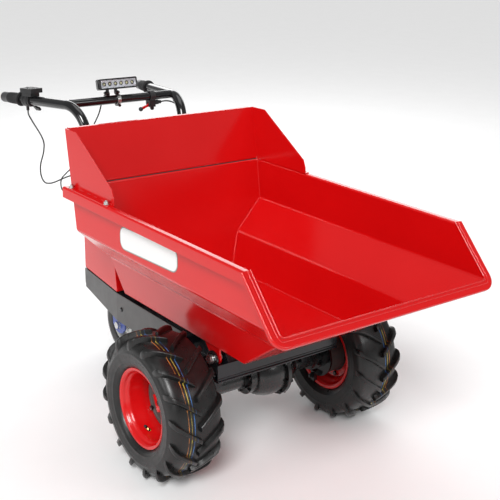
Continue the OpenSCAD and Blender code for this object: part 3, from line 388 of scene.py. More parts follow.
def smooth_loop(points, k=3, closed=True):
    """Catmull-Rom through the points."""
    out, n = [], len(points)
    for i in range(n if closed else n - 1):
        if closed:
            a, b, c, d = (points[(i + q) % n] for q in (-1, 0, 1, 2))
        else:
            a, b, c, d = (points[min(max(i + q, 0), n - 1)] for q in (-1, 0, 1, 2))
        for j in range(k):
            t = j / k
            out.append(tuple(0.5 * (2 * b[m] + (c[m] - a[m]) * t + (2 * a[m] - 5 * b[m] + 4 * c[m] - d[m]) * t * t + (3 * b[m] - a[m] - 3 * c[m] + d[m]) * t ** 3)
                             for m in range(len(b))))
    if not closed:
        out.append(tuple(points[-1]))
    return out


def join_meshes(parts):
    verts, faces = [], []
    for v, f in parts:
        o = len(verts)
        verts += v
        faces += [tuple(i + o for i in q) for q in f]
    return verts, faces


def tube(points, radius, sides=10, ends=True):
    """Tube of varying radius along points; radius is a number or a function of the index."""
    pts = [Vector(p) for p in points]
    n = len(pts)
    tang = [(pts[min(i + 1, n - 1)] - pts[max(i - 1, 0)]).normalized() for i in range(n)]
    ref = Vector((0, 0, 1)) if abs(tang[0].z) < 0.9 else Vector((0, 1, 0))
    nrm = (ref - ref.dot(tang[0]) * tang[0]).normalized()
    verts, faces = [], []
    for i in range(n):
        nrm = (nrm - nrm.dot(tang[i]) * tang[i]).normalized()
        bi = tang[i].cross(nrm)
        r = radius(i) if callable(radius) else radius
        for j in range(sides):
            a = 2 * math.pi * j / sides
            verts.append(pts[i] + (nrm * math.cos(a) + bi * math.sin(a)) * r)
    for i in range(n - 1):
        for j in range(sides):
            l = (j + 1) % sides
            faces.append((i * sides + j, i * sides + l, (i + 1) * sides + l, (i + 1) * sides + j))
    if ends:
        faces.append(tuple(range(sides))[::-1])
        faces.append(tuple((n - 1) * sides + j for j in range(sides)))
    return verts, faces


def bead(a, b, r=0.0024, pitch=0.0034, flat=1.0, seed=1):
    """Rippled weld bead between two points."""
    rr = random.Random(seed)
    a, b = Vector(a), Vector(b)
    length = (b - a).length
    steps = max(8, int(length / (pitch / 4)))
    pts, rad = [], []
    for i in range(steps + 1):
        t = i / steps
        pts.append(a.lerp(b, t))
        end = min(1.0, (t * length) / (2.2 * r) + 0.35, ((1 - t) * length) / (2.2 * r) + 0.35)
        ph = (t * length / pitch) % 1.0
        rad.append(r * end * (0.86 + 0.16 * (1 - ph) ** 1.5 + 0.05 * (rr.random() - 0.5)))
    return tube(pts, lambda i: rad[i], sides=8)


def beads(name, lines, body, r=0.0024, material="weld", slot="red_paint", pitch=0.0034):
    parts = [bead(P(*a), P(*b), r=r, seed=i + 3, pitch=pitch) for i, (a, b) in enumerate(lines)]
    v, f = join_meshes(parts)
    return link(name, mesh(name, v, f, angle=60), body, material, slot)


# ------------------------------------------------------------------ cords first
def unit(v):
    return Vector(v).normalized()


def end_dir(s):
    return unit((-438, s * 83, -22))


def bend_pt(s):
    return Vector((-680, s * 187, 922))


def low_pt(s):
    return Vector((-630, s * 150, 373))


def leg_dir(s):
    return (bend_pt(s) - low_pt(s)).normalized()


def leg_pt(s, z):
    return low_pt(s) + (z - 373) / (922 - 373) * (bend_pt(s) - low_pt(s))


def on_pod(d, z):
    e = end_dir(-1)
    return bend_pt(-1) + d * e + z * (Vector((0, 0, 1)) - e.z * e).normalized()


throttle_route = [on_pod(301, -25.7), on_pod(301, -40), (-968, -243, 856), (-940, -240, 832), (-909, -232, 800), (-900, -225, 770), (-916, -222, 730), (-940, -222, 690),
                  (-942, -222, 652), (-922, -217, 628), (-890, -200, 633), (-850, -168, 657), (-800, -138, 672), (-745, -118, 660), (-704, -110, 620), (-690, -110, 585), (-690, -110, 559.7)]
lamp_route = [(-776.7, -47, 939), (-787, -50, 934), (-789, -62, 908), (-780, -78, 876), (-784, -102, 830), (-815, -130, 750), (-858, -150, 682), (-880, -175, 645),
              (-868, -178, 605), (-820, -150, 600), (-760, -110, 625), (-712, -72, 618), (-690, -60, 588), (-690, -60, 559.7)]


def tied(z):
    return leg_pt(1, z) + Vector((-14.4, 12.7, 0))


release_route = [(-763, 149.7, 897), (-762, 172, 898), (-755, 196, 892), (-738, 212, 874), (-706, 208, 836), tied(790), tied(770), tied(690), tied(630), (-676, 158, 604),
                 (-690, 122, 596), (-690, 110, 584), (-690, 110, 559.7)]


def cord_curve(name, route, diameter, body, replaces, declare=True):
    pts = [P(*p) for p in smooth_loop([tuple(p) for p in route], 2, closed=False)]
    cu = bpy.data.curves.new(name, "CURVE")
    cu.dimensions = "3D"
    cu.bevel_depth = diameter / 2
    cu.bevel_resolution = 5
    cu.resolution_u = 5
    cu.use_fill_caps = True
    sp = cu.splines.new("BEZIER")
    sp.bezier_points.add(len(pts) - 1)
    for b, p in zip(sp.bezier_points, pts):
        b.co = p
        b.handle_left_type = b.handle_right_type = "AUTO"
    o = bpy.data.objects.new(name, cu)
    scene.collection.objects.link(o)
    cu.materials.append(M["cable"])
    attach(o, body)
    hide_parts(replaces)
    dense = smooth_loop([tuple(p) for p in pts], 8, closed=False)
    length = sum((Vector(a) - Vector(b)).length for a, b in zip(dense, dense[1:]))
    if declare:
        tuple(pts[0])
    return o


cord_curve("throttle_cord", throttle_route, 0.0048, "chassis", "throttle_lead")
cord_curve("lamp_cord", lamp_route, 0.0044, "chassis", "lamp_lead")
cord_curve("release_cable_sheath", release_route, 0.0048, "chassis", "release_cable", declare=False)

# ------------------------------------------------------------------ tray: bent sheets
RIM, BAND, KNEE, FLOOR = 732, 604, 505, 384
RX = {RIM: -462, BAND: -442, KNEE: -427, FLOOR: -405}
chute_knee_x = 220 + (KNEE - FLOOR) * (543 - 220) / (BAND - FLOOR)
FX = {RIM: 423, BAND: 543, KNEE: chute_knee_x, FLOOR: 220}
HW = {RIM: 342, BAND: 342, KNEE: 239, FLOOR: 204}


def mouth_x(z):
    return 543 - (z - BAND) * 120 / 128


def tray_side(s):
    z1 = RIM - 33
    polys = [
        [P(-485, s * 365, z1), P(mouth_x(z1), s * 365, z1), P(423, s * 365, RIM), P(-485, s * 365, RIM)],
        [P(-485, s * 365, RIM), P(423, s * 365, RIM), P(423, s * 342, RIM), P(-462, s * 342, RIM), P(-485, s * 342, RIM)],
        [P(-462, s * 342, RIM), P(423, s * 342, RIM), P(543, s * 342, BAND), P(-442, s * 342, BAND)],
        [P(-442, s * 342, BAND), P(543, s * 342, BAND), P(FX[KNEE], s * 239, KNEE), P(-427, s * 239, KNEE)],
        [P(-427, s * 239, KNEE), P(FX[KNEE], s * 239, KNEE), P(220, s * 204, FLOOR), P(-405, s * 204, FLOOR)],
    ]
    side = "left" if s > 0 else "right"
    return sheet(f"tray_side_sheet_{side}", polys, "tray", "red_paint", 0.003, 1.0 if s > 0 else -1.0, fold=0.006,
                 replaces=(f"side_{side}", f"hopper_{side}"))


side_r = tray_side(-1)
side_l = tray_side(1)
rear_polys = [
    [P(-485, -342, RIM - 33), P(-485, 342, RIM - 33), P(-485, 342, RIM), P(-485, -342, RIM)],
    [P(-485, -342, RIM), P(-485, 342, RIM), P(-462, 342, RIM), P(-462, -342, RIM)],
    [P(-462, -342, RIM), P(-462, 342, RIM), P(-442, 342, BAND), P(-442, -342, BAND)],
    [P(-442, -342, BAND), P(-442, 342, BAND), P(-427, 239, KNEE), P(-427, -239, KNEE)],
    [P(-427, -239, KNEE), P(-427, 239, KNEE), P(-405, 204, FLOOR), P(-405, -204, FLOOR)],
]
rear = sheet("tray_rear_sheet", rear_polys, "tray", "red_paint", 0.003, -1.0, fold=0.005, replaces=("rear_wall",))
floor_polys = [
    [P(-405, -204, FLOOR), P(220, -204, FLOOR), P(220, 204, FLOOR), P(-405, 204, FLOOR)],
    [P(220, -204, FLOOR), P(FX[KNEE], -239, KNEE), P(FX[KNEE], 239, KNEE), P(220, 204, FLOOR)],
    [P(FX[KNEE], -239, KNEE), P(543, -342, BAND), P(543, 342, BAND), P(FX[KNEE], 239, KNEE)],
]
bottom = sheet("tray_bottom_sheet", floor_polys, "tray", "red_paint", 0.003, -1.0, fold=0.006, replaces=("tray_floor",))


def mouth_flange():
    """Flange round the mouth: flat face, rounded corners, folded return."""
    ml = math.hypot(128, 120)
    up_dir = Vector((-120, 0, 128)) / ml
    out_dir = Vector((128, 0, 120)) / ml
    m, rad = 27.0, 38.0
    o = 342 + m
    cx, cy = o - rad, -m + rad
    stations = []                        # (inner, outer, outward normal) in (across, up) plane
    for s in (-1, 1):
        half = []
        for i in range(5):
            v = ml - (ml - 11) * i / 4
            half.append(((s * 342, v), (s * o, v), (s, 0)))
        for i in range(1, 12):
            a = math.pi / 2 * i / 12
            n = (s * math.cos(a), -math.sin(a))
            half.append(((s * 342, max(0.0, 11 * (1 - i / 6))) if i < 6 else (s * (342 - 11 * (i - 6) / 6), 0.0), (s * cx + rad * n[0], cy + rad * n[1]), n))
        half.append(((s * 331, 0), (s * 331, -m), (0, -1)))
        stations.append(half)
    across = [((x, 0), (x, -m), (0, -1)) for x in [-331 + 662 * i / 10 for i in range(1, 10)]]
    path = stations[0] + across + stations[1][::-1]
    rb = 4.0
    verts, faces = [], []
    rows = 0
    for inner, outer, n in path:
        base = Vector((543, 0, BAND))
        ring = []
        pt = lambda u, v, w=0.0: base + Vector((0, u, 0)) + up_dir * v + out_dir * w
        ring.append(pt(*inner))
        ex, ey = outer[0] - n[0] * rb, outer[1] - n[1] * rb
        ring.append(pt((inner[0] + ex) / 2, (inner[1] + ey) / 2))
        for k in range(5):
            a = math.pi / 2 * k / 4
            ring.append(pt(ex + n[0] * rb * math.sin(a), ey + n[1] * rb * math.sin(a), -rb + rb * math.cos(a)))
        ring.append(pt(outer[0], outer[1], -7.5))
        ring.append(pt(outer[0], outer[1], -11))
        verts += [P(*q) for q in ring]
        rows = len(ring)
    for i in range(len(path) - 1):
        for k in range(rows - 1):
            faces.append((i * rows + k, (i + 1) * rows + k, (i + 1) * rows + k + 1, i * rows + k + 1))
    me = mesh("mouth_flange", verts, faces, angle=0)
    # solidify towards the machine
    nrm = me.polygons[2].normal
    towards = Vector(out_dir).dot(nrm)
    ob = link("mouth_flange", me, "tray", "red_paint", "red_paint", ("mouth_frame",))
    modifiers(ob, bevel=0.0007, thick=0.003, offset=-1.0 if towards > 0 else 1.0)
    return ob


mouth = mouth_flange()


def mouth_hems():
    """Rounded hem on the flange's inner edge and a second line beside it."""
    ml = math.hypot(128, 120)
    up_dir, out_dir, base = Vector((-120, 0, 128)) / ml, Vector((128, 0, 120)) / ml, Vector((543, 0, BAND))
    parts = []
    for grow, lift, r in ((0.6, 0.2, 0.0021), (9.5, 0.1, 0.0013)):
        path, h = [], 342 + grow
        for i in range(9):
            path.append((-h, ml - (ml - 11) * i / 8))
        for i in range(1, 9):
            a = math.pi / 2 * i / 9
            path.append((-h + 11 - 11 * math.cos(a), 11 - grow * math.sin(a) - 11 * math.sin(a)))
        path.append((-331, -grow))
        path += [(x, -grow) for x in (-220, -110, 0, 110, 220)] + [(331, -grow)]
        path += [(-u, v) for u, v in path[:17][::-1]]
        parts.append(tube([P(*(base + Vector((0, u, 0)) + up_dir * v + out_dir * lift)) for u, v in path], r, sides=10))
    v, f = join_meshes(parts)
    link("mouth_hems", mesh("mouth_hems", v, f, angle=50), "tray", "weld", "red_paint")


mouth_hems()


def headboard_sheets():
    """Leaning panel and the two wings, one bent sheet."""
    yo = 343.5
    a, b = (-463.5, 733.2), (-491.5, 903)
    c = (-464.5, 739.2)
    polys = [[P(c[0], -yo, c[1]), P(c[0], yo, c[1]), P(b[0], yo, b[1]), P(b[0], -yo, b[1])]]
    for s in (-1, 1):
        polys.append([P(a[0], s * yo, a[1]), P(-208, s * yo, 733.2), P(-210, s * yo, 754), P(-220, s * yo, 776), P(-427, s * yo, 903), P(b[0], s * yo, b[1]), P(c[0], s * yo, c[1])])
        polys.append([P(a[0], s * yo, a[1]), P(-208, s * yo, 733.2), P(-214, s * 363, 733.2), P(-452, s * 363, 733.2)])
    o = sheet("headboard_sheet", polys, "tray", "red_paint", 0.003, 0.0, fold=0.0045, replaces=("headboard",))
    sheet("headboard_foot_fold", [
        [P(c[0], -341, c[1]), P(c[0], 341, c[1]), P(a[0], 341, a[1] + 0.6), P(a[0], -341, a[1] + 0.6)],
        [P(a[0], -341, a[1] + 0.6), P(a[0], 341, a[1] + 0.6), P(-483.5, 336, a[1] + 0.6), P(-483.5, -336, a[1] + 0.6)]], "tray", "red_paint", 0.003, 0.0, fold=0.0045, bevel=0.0)
    top = sheet("headboard_top_fold", [
        [P(-489.5, -331, 901.5), P(-489.5, 331, 901.5), P(-506.5, 331, 901.5), P(-506.5, -331, 901.5)],
        [P(-506.5, -331, 901.5), P(-506.5, 331, 901.5), P(-506.5, 331, 889.5), P(-506.5, -331, 889.5)]], "tray", "red_paint", 0.003, 0.0, fold=0.004)
    return o, top


headboard_sheets()
# black strip along the headboard's foot: painted shade standing in for the dark shadow gap between the headboard and
# the rim
strip = [P(x, y, z) for y in (-339, 339) for x, z in ((-463.2, 732.1), (-460.6, 732.1), (-461.2, 733.4), (-462.6, 734.6))]
link("headboard_painted_shadow_strip", mesh("headboard_painted_shadow_strip", strip, [(0, 1, 2, 3), (7, 6, 5, 4), (0, 4, 5, 1), (1, 5, 6, 2), (2, 6, 7, 3), (3, 7, 4, 0)], angle=30), "tray", "black_plastic", "black_paint")

# weld beads of the tray
seam = []
for s in (-1, 1):
    for z1, z2 in ((RIM - 4, BAND), (BAND, KNEE), (KNEE, FLOOR + 2)):
        seam.append(((RX.get(z1, -461.4) + 0.6, s * (HW.get(z1, 342) - 0.6), z1), (RX[BAND if z2 == BAND else KNEE if z2 == KNEE else FLOOR] + 0.6, s * (HW[z2 if z2 in HW else FLOOR] - 0.6), z2)))
beads("tray_rear_corner_welds", seam, "tray", r=0.0036, pitch=0.0048)
seam = []
for s in (-1, 1):
    seam.append(((-403, s * 203.2, FLOOR + 0.8), (219, s * 203.2, FLOOR + 0.8)))
    seam.append(((221, s * 203.6, FLOOR + 1.6), (FX[KNEE], s * 238.4, KNEE + 1.0)))
    seam.append(((FX[KNEE], s * 238.4, KNEE + 1.0), (541, s * 340.6, BAND - 0.4)))
seam.append(((-404, -202, FLOOR + 0.8), (-404, 202, FLOOR + 0.8)))
beads("tray_bottom_welds", seam, "tray", r=0.0025)
seam = []
for s in (-1, 1):
    for x in (26, 50, 74):
        seam.append(((x - 6, s * 198.6, FLOOR - 4.2), (x + 12, s * 198.6, FLOOR - 4.2)))
    seam.append(((-470, s * 345.6, RIM + 3.6), (-452, s * 345.6, RIM + 3.6)))
    for i in range(5):
        seam.append(((-404 + i * 42, s * 346.0, RIM + 4.0), (-386 + i * 42, s * 346.0, RIM + 4.0)))
    # welds behind the mouth corners
    seam.append(((536 - 6, s * 345.4, BAND + 2), (536 - 6 - 34, s * 345.4, BAND + 40)))
    seam.append(((540, s * 330, BAND - 5.0), (540, s * 280, BAND - 5.0)))
beads("tray_outer_welds", seam, "tray", r=0.0021)


def label_plate(name, inset, key, x1=-178, x2=118, z1=619, z2=687, slope=0.035, y=-344.9, r=26.0, t=0.5, body="tray", slot="grey_plastic"):
    """Blank label on the side band, following its lean."""
    pts = []
    for cx, cz, a0 in ((x2 - r, z2 - r, 0), (x1 + r, z2 - r, 90), (x1 + r, z1 + r, 180), (x2 - r, z1 + r, 270)):
        for k in range(9):
            a = math.radians(a0 + 90 * k / 8)
            pts.append((cx + (r - inset) * math.cos(a), cz + (r - inset) * math.sin(a)))
    n = len(pts)
    verts = [P(x, y, z + slope * (x - x1)) for x, z in pts] + [P(x, y - t, z + slope * (x - x1)) for x, z in pts]
    faces = [tuple(range(n)), tuple(range(2 * n - 1, n - 1, -1))] + [(i, (i + 1) % n, n + (i + 1) % n, n + i) for i in range(n)]
    return link(name, mesh(name, verts, faces, angle=30), body, key, slot)


label_plate("side_label_border", 0.0, "decal_grey")
label_plate("side_label_field", 3.2, "decal_white", t=0.8)

# ------------------------------------------------------------------ drive wheels
def wheel_space(s):
    def to_world(lx, ly, lz):
        return P(lx, s * (330 + lz), 212 - s * ly) if s > 0 else P(lx, -330 - lz, 212 + ly)
    return to_world


def tyre_meshes(s):
    w = wheel_space(s)
    outer = [(106, 60.5), (112, 60.8), (116.8, 61.5), (118.5, 65.6), (122, 69.6), (127, 72.8), (131, 74.6), (132.6, 76.0), (135, 76.4), (137, 76.2), (143, 77.6), (150, 78.6), (156, 78.8),
             (158, 79.3), (161, 79.3), (163, 78.3), (168, 77.5), (174.5, 75.6), (180, 72.8), (184.6, 69.2), (188.5, 64.8), (191.6, 59.4), (194, 52), (195.9, 40), (197.2, 26), (197.8, 12), (198, 0)]
    back = [(106, 60.5), (112, 60.8), (116.8, 61.5), (118.5, 66), (122, 70.5), (127, 74.2), (131, 76.6), (133, 78.4), (136, 78.6), (138, 78.2), (144, 80.2), (151, 81.4), (158, 81.7),
            (160, 82.3), (163, 82.4), (165, 81.6), (171, 80.8), (178, 79.2), (184, 76.6), (188.5, 72.8), (191.5, 68), (193.6, 61), (195, 52), (196.4, 40), (197.4, 26), (197.9, 12), (198, 0)]
    inner = [(188, 0), (187.4, 30), (185, 52), (180, 62), (170, 66.5), (152, 67), (132, 62), (120, 54), (112, 47), (106, 47)]
    # crown, outer side, inside, inner side
    ring = outer[::-1] + inner[::-1][:-1] + [(188, 0)] + [(r, -q) for r, q in inner[1:]] + [(r, -q) for r, q in back[:-1]]
    v, f = revolve(ring, w, segs=160)
    parts = [(v, f)]
    # lugs: rows of sections from the middle of the tread over the shoulder
    #        base r, base w, top r, top w, tangential centre, half width base, half width top
    table = [(196.0, -3.4, 201.0, -3.2, 8.4, 6.2), (196.4, -2.4, 211.0, -2.0, 8.7, 6.0), (196.6, 2.0, 211.9, 2.0, 8.6, 5.9), (196.6, 14.0, 212.0, 14.0, 8.4, 5.6), (196.0, 26.0, 211.8, 26.0, 8.3, 5.4),
             (195.4, 38.0, 211.2, 38.0, 8.4, 5.4), (194.0, 50.0, 210.0, 50.5, 8.8, 5.7), (191.5, 60.5, 208.0, 62.5, 9.3, 6.2), (188.0, 69.0, 204.6, 71.5, 9.8, 6.8), (184.0, 74.5, 199.5, 77.6, 10.3, 7.2),
             (179.0, 77.5, 192.5, 81.2, 10.5, 7.4), (173.5, 79.2, 184.5, 82.3, 10.3, 7.2), (169.0, 79.6, 177.0, 82.2, 9.9, 6.8), (165.6, 79.6, 168.5, 81.0, 9.2, 5.8)]
    # the lug leans back as it runs outwards
    rows = [(rb, wb, rt, wt, 30.3 - 0.783 * min(wt + 2, 46) - 0.707 * max(0.0, wt - 44) - (0.35 * (204 - rt) if rt < 204 else 0.0), hb, ht) for rb, wb, rt, wt, hb, ht in table]
    lug_parts = []
    for side in (1, -1):
        for i in range(16):
            a0 = 2 * math.pi * (i if side > 0 else i + 0.5) / 16
            verts, faces = [], []
            for rb, wb, rt, wt, tc, hb, ht in rows:
                if side > 0 and wt > 40:          # the outer shoulder is narrower
                    k = min(1.0, (wt - 40) / 30)
                    wt, wb = wt - 3.4 * k, wb - 4.2 * k
                ref = 205.0
                mr, mw = rb + (rt - rb) * 0.9, wb + (wt - wb) * 0.9
                hm = ht + (hb - ht) * 0.14 + 0.5
                for t, r, q in ((tc - hb, rb, wb), (tc - hm, mr, mw), (tc - ht + 0.9, rt - 0.15, wt - 0.05), (tc, rt + 0.15, wt + 0.02), (tc + ht - 0.9, rt - 0.15, wt - 0.05), (tc + hm, mr, mw), (tc + hb, rb, wb)):
                    ang = a0 + s * t / ref
                    verts.append(w(r * math.cos(ang), r * math.sin(ang), side * q))
            n = 7
            for k in range(len(rows) - 1):
                for j in range(n):
                    l = (j + 1) % n
                    faces.append((k * n + j, k * n + l, (k + 1) * n + l, (k + 1) * n + j))
            faces.append(tuple(range(n)))
            faces.append(tuple((len(rows) - 1) * n + j for j in range(n)))
            lug_parts.append((verts, faces))
    v, f = join_meshes(parts + lug_parts)
    return v, f


def drive_wheel(s):
    side = "left" if s > 0 else "right"
    body = f"wheel_{side}"
    w = wheel_space(s)
    v, f = tyre_meshes(s)
    link(f"tyre_with_lugs_{side}", mesh(f"tyre_with_lugs_{side}", v, f, angle=30), body, "tyre_rubber", "tyre_rubber", (f"tyre_{side}",))
    # vent hairs
    hairs = []
    for i in range(44):
        a = rng.random() * 2 * math.pi
        q = rng.choice((-1, 1)) * (79.8 if i % 2 else 79.0)
        r = 150 + rng.random() * 4 if abs(q) < 82 else 162
        base = Vector(w(r * math.cos(a), r * math.sin(a), q - math.copysign(1.4, q)))
        tip = Vector(w((r + rng.uniform(-1, 1)) * math.cos(a), (r + rng.uniform(-1, 1)) * math.sin(a), q + math.copysign(0.6, q)))
        hairs.append(tube([base, base.lerp(tip, 0.5), tip], 0.00045, sides=5))
    vv, ff = join_meshes(hairs)
    link(f"tyre_vent_hairs_{side}", mesh("hairs", vv, ff), body, "tyre_rubber", "tyre_rubber")
    # pressed steel rim
    outer_face = [(116, 63.2), (115.4, 64.6), (113.5, 65.0), (110.5, 64.7), (107.5, 63.0), (105.0, 60.4), (103.4, 57.2), (102.4, 54.4), (101.0, 52.4), (99.0, 50.8), (97.2, 48.6), (95.6, 45.8),
                  (94.6, 43), (93.6, 38), (92.4, 33), (90.8, 27), (88.6, 19), (86.4, 11), (85.2, 4), (84.8, -4), (84.6, -20.0), (83.4, -22.0)]
    face_in = [(66.6, -22.0), (66.0, -23.0), (66.0, -27.0), (66.6, -28.0), (82.6, -28.0), (84.6, -29.0), (85.6, -33), (86.6, -40), (89.5, -45), (94, -48.6), (97.6, -51.6), (99.6, -55), (101.2, -59),
               (103.6, -62.6), (107, -65.0), (111, -66.2), (114.6, -66.2), (116, -64.8), (115.4, -63), (112, -62.9), (109, -61.8), (106.4, -58.6), (105, -54), (104.2, -47.6), (101, -44.8), (96, -42.2),
               (91.2, -38.5), (88.6, -32), (88.0, -26), (88.0, 6), (89.4, 14), (91.4, 22), (93.8, 30), (96.6, 38), (99.2, 43), (102.8, 46.2), (104.6, 50), (105.6, 55), (107.2, 58.8), (110, 61.0), (113.4, 61.6), (115.4, 61.8)]
    v1, f1 = revolve(outer_face + face_in, w, segs=144)
    # square clamping plate with rounded corners and a chamfer
    def plate(zs, half, rc):
        ring_pts = []
        for cxq, cyq, a0 in ((1, 1, 0), (-1, 1, 90), (-1, -1, 180), (1, -1, 270)):
            for k in range(5):
                a = math.radians(a0 + 90 * k / 4)
                ring_pts.append((cxq * (half - rc) + rc * math.cos(a), cyq * (half - rc) + rc * math.sin(a)))
        verts, faces = [], []
        n = len(ring_pts)
        ca, sa = math.cos(math.radians(25)), math.sin(math.radians(25))
        for z, shrink in zs:
            for px, py in ring_pts:
                k = (half - shrink) / half
                verts.append(w((px * ca - py * sa) * k, (px * sa + py * ca) * k, z))
        for i in range(len(zs) - 1):
            for j in range(n):
                l = (j + 1) % n
                faces.append((i * n + j, i * n + l, (i + 1) * n + l, (i + 1) * n + j))
        faces.append(tuple(range(n)))
        faces.append(tuple((len(zs) - 1) * n + j for j in range(n)))
        return verts, faces
    v2, f2 = plate([(-10.5, 0), (2.4, 0), (3.6, 0.5), (4.0, 1.3)], 26, 3.0)
    v3, f3 = revolve([(0.01, 3.9), (8.6, 3.9), (9.0, 4.3), (9.0, 6.4), (8.4, 7.0), (0.01, 7.0)], w, segs=40, closed=True)
    v, f = join_meshes([(v1, f1), (v2, f2)])
    link(f"rim_pressing_{side}", mesh(f"rim_pressing_{side}", v, f, angle=30), body, "red_rim", "red_paint", (f"rim_{side}",))
    link(f"hub_cap_stud_{side}", mesh("stud", v3, f3, angle=30), body, "black_paint", "black_paint")
    # ring welds where the disc meets the barrel
    rings = []
    rr = random.Random(5)
    steps = 300
    pts = [w(84.2 * math.cos(2 * math.pi * i / steps), 84.2 * math.sin(2 * math.pi * i / steps), -21.4) for i in range(steps)]
    verts, faces = [], []
    sides = 7
    for i in range(steps):
        a = 2 * math.pi * i / steps
        rad = 2.3 * (0.85 + 0.2 * ((i % 5) / 5) + 0.06 * rr.random())
        for j in range(sides):
            b = 2 * math.pi * j / sides
            verts.append(w((83.6 + rad * math.cos(b)) * math.cos(a), (83.6 + rad * math.cos(b)) * math.sin(a), -21.8 + rad * math.sin(b)))
    for i in range(steps):
        i2 = (i + 1) % steps
        for j in range(sides):
            l = (j + 1) % sides
            faces.append((i * sides + j, i * sides + l, i2 * sides + l, i2 * sides + j))
    link(f"rim_disc_weld_{side}", mesh("ringweld", verts, faces, angle=60), body, "red_rim", "red_paint")
    # tyre valve: rubber base, brass stem with a thread, cap
    ca, sa = math.cos(math.radians(s * 104)), math.sin(math.radians(s * 104))
    tilt = math.radians(-52)

    def stem(lx, ly, lz):
        x, y, z = 91 + lx * math.cos(tilt) + lz * math.sin(tilt), ly, 24 - lx * math.sin(tilt) + lz * math.cos(tilt)
        return w(x * ca - y * sa, x * sa + y * ca, z)
    base = [(0.05, -3), (5.4, -3), (5.6, -1), (5.4, 1.2), (4.4, 2.8), (4.1, 7.0), (3.6, 8.4), (0.05, 8.4)]
    thread = [(0.05, 8.0), (3.1, 8.0)]
    z = 8.2
    while z < 19.4:
        thread += [(3.1, z), (3.45, z + 0.25), (3.1, z + 0.5)]
        z += 0.62
    thread += [(3.0, 20.2), (0.05, 20.2)]
    cap = [(0.05, 19.6), (4.2, 19.6), (4.5, 20.1), (4.5, 24.5), (4.2, 26.5), (3.4, 28.6), (2.2, 29.0), (0.05, 29.0)]
    for nm, prof, key in (("base", base, "tyre_rubber"), ("stem", thread, "brass"), ("cap", cap, "black_plastic")):
        vv, ff = revolve(prof, stem, segs=32)
        link(f"valve_{nm}_{side}", mesh(f"valve_{nm}_{side}", vv, ff, angle=45), body, key, "zinc" if nm == "stem" else "tyre_rubber", (f"valve_{side}",) if nm == "base" else ())
    return body


for s_ in (-1, 1):
    drive_wheel(s_)


# ------------------------------------------------------------------ swivel wheel
def caster_wheel():
    def w(lx, ly, lz):
        return P(-737 + lx, lz, 125 + ly)
    tread = [(124.6, 0), (124.6, 6), (124.2, 11.4), (122.2, 12.2), (121.8, 13.6), (123.6, 14.6), (122.6, 19), (119.6, 24.4), (118.8, 25.6), (116.4, 29.4), (112, 33), (106, 35.8), (98, 37.3), (96, 38.0), (93, 38.0), (90.5, 37.6),
             (82, 37.6), (75, 37.2), (70, 36.4), (66.6, 34.6), (64, 32.4)]
    ring = tread + [(r, -q) for r, q in tread[::-1]][:-1]
    v, f = revolve(ring, w, segs=128)
    link("swivel_tyre_moulding", mesh("swivel_tyre_moulding", v, f, angle=40), "swivel_wheel", "tyre_rubber", "tyre_rubber", ("caster_tyre",))


caster_wheel()


# ------------------------------------------------------------------ handlebar pieces
def handle_space(s):
    """Frame at the bend: +X along the handle to the rear, +Z up."""
    e = end_dir(s)
    yaw, pitch = math.atan2(e.y, e.x), math.asin(-e.z)
    m = Matrix.Rotation(yaw, 3, "Z") @ Matrix.Rotation(pitch, 3, "Y")
    v0 = bend_pt(s)

    def to_world(x, y, z):
        return P(*(v0 + m @ Vector((x, y, z))))
    return to_world


def grips(s):
    side = "left" if s > 0 else "right"
    w = handle_space(s)
    prof = [(16.1, 330.0), (22.4, 330.0), (23.6, 330.8), (24.0, 332.2), (24.0, 335.0), (23.2, 336.6), (20.6, 337.6), (19.2, 339.4)]
    x = 341.0
    while x < 391:
        r = 18.0 + 0.8 * math.sin(math.pi * (x - 341) / 50)
        prof += [(r - 0.7, x), (r + 0.35, x + 0.6), (r + 0.5, x + 1.5), (r + 0.35, x + 2.4), (r - 0.7, x + 3.0)]
        x += 3.6
    prof += [(17.6, 396.0), (16.1, 396.2)]
    v, f = revolve(prof, lambda a, b, c: w(c, a, b), segs=72)
    link(f"ribbed_grip_{side}", mesh(f"ribbed_grip_{side}", v, f, angle=50), "chassis", "grip_rubber", "grip_rubber", (f"grip_{side}",))
    cap = [(16.1, 396.4), (18.0, 396.4), (18.3, 397.4), (17.6, 400.0), (17.4, 410.0), (17.5, 424.0), (17.4, 430.0), (16.4, 433.4), (14.0, 435.3), (10.5, 436.0), (0.05, 436.1), (0.05, 432.2), (16.1, 432.2)]
    v, f = revolve(cap, lambda a, b, c: w(c, a, b), segs=72)
    link(f"grip_end_cap_{side}", mesh(f"grip_end_cap_{side}", v, f, angle=50), "chassis", "grip_end", "grip_rubber")


for s_ in (-1, 1):
    grips(s_)


# ------------------------------------------------------------------ work lamp
def rounded_box(lo, hi, r, seg=3, place=P):
    """Box with rounded edges, in mm from the axle."""
    bm = bmesh.new()
    bmesh.ops.create_cube(bm, size=1.0)
    for v in bm.verts:
        v.co = Vector([(lo[i] + hi[i]) / 2 + v.co[i] * (hi[i] - lo[i]) for i in range(3)])
    bmesh.ops.bevel(bm, geom=bm.edges[:], offset=r, offset_type="OFFSET", segments=seg, profile=0.5, affect="EDGES", clamp_overlap=True)
    bm.verts.ensure_lookup_table()
    out = ([place(*v.co) for v in bm.verts], [tuple(v.index for v in f.verts) for f in bm.faces])
    bm.free()
    return out


def lean(x, y, z):
    """The lamp's own upright frame, leaned back about its hinge."""
    a = math.radians(-12)
    dx, dz = x + 762, z - 944
    return P(-762 + dx * math.cos(a) + dz * math.sin(a), y, 944 - dx * math.sin(a) + dz * math.cos(a))


def rounded_ring(y1, y2, z1, z2, r, seg=6):
    pts = []
    for cy, cz, a0 in ((y2 - r, z2 - r, 0), (y1 + r, z2 - r, 90), (y1 + r, z1 + r, 180), (y2 - r, z1 + r, 270)):
        for k in range(seg + 1):
            a = math.radians(a0 + 90 * k / seg)
            pts.append((cy + r * math.cos(a), cz + r * math.sin(a)))
    return pts


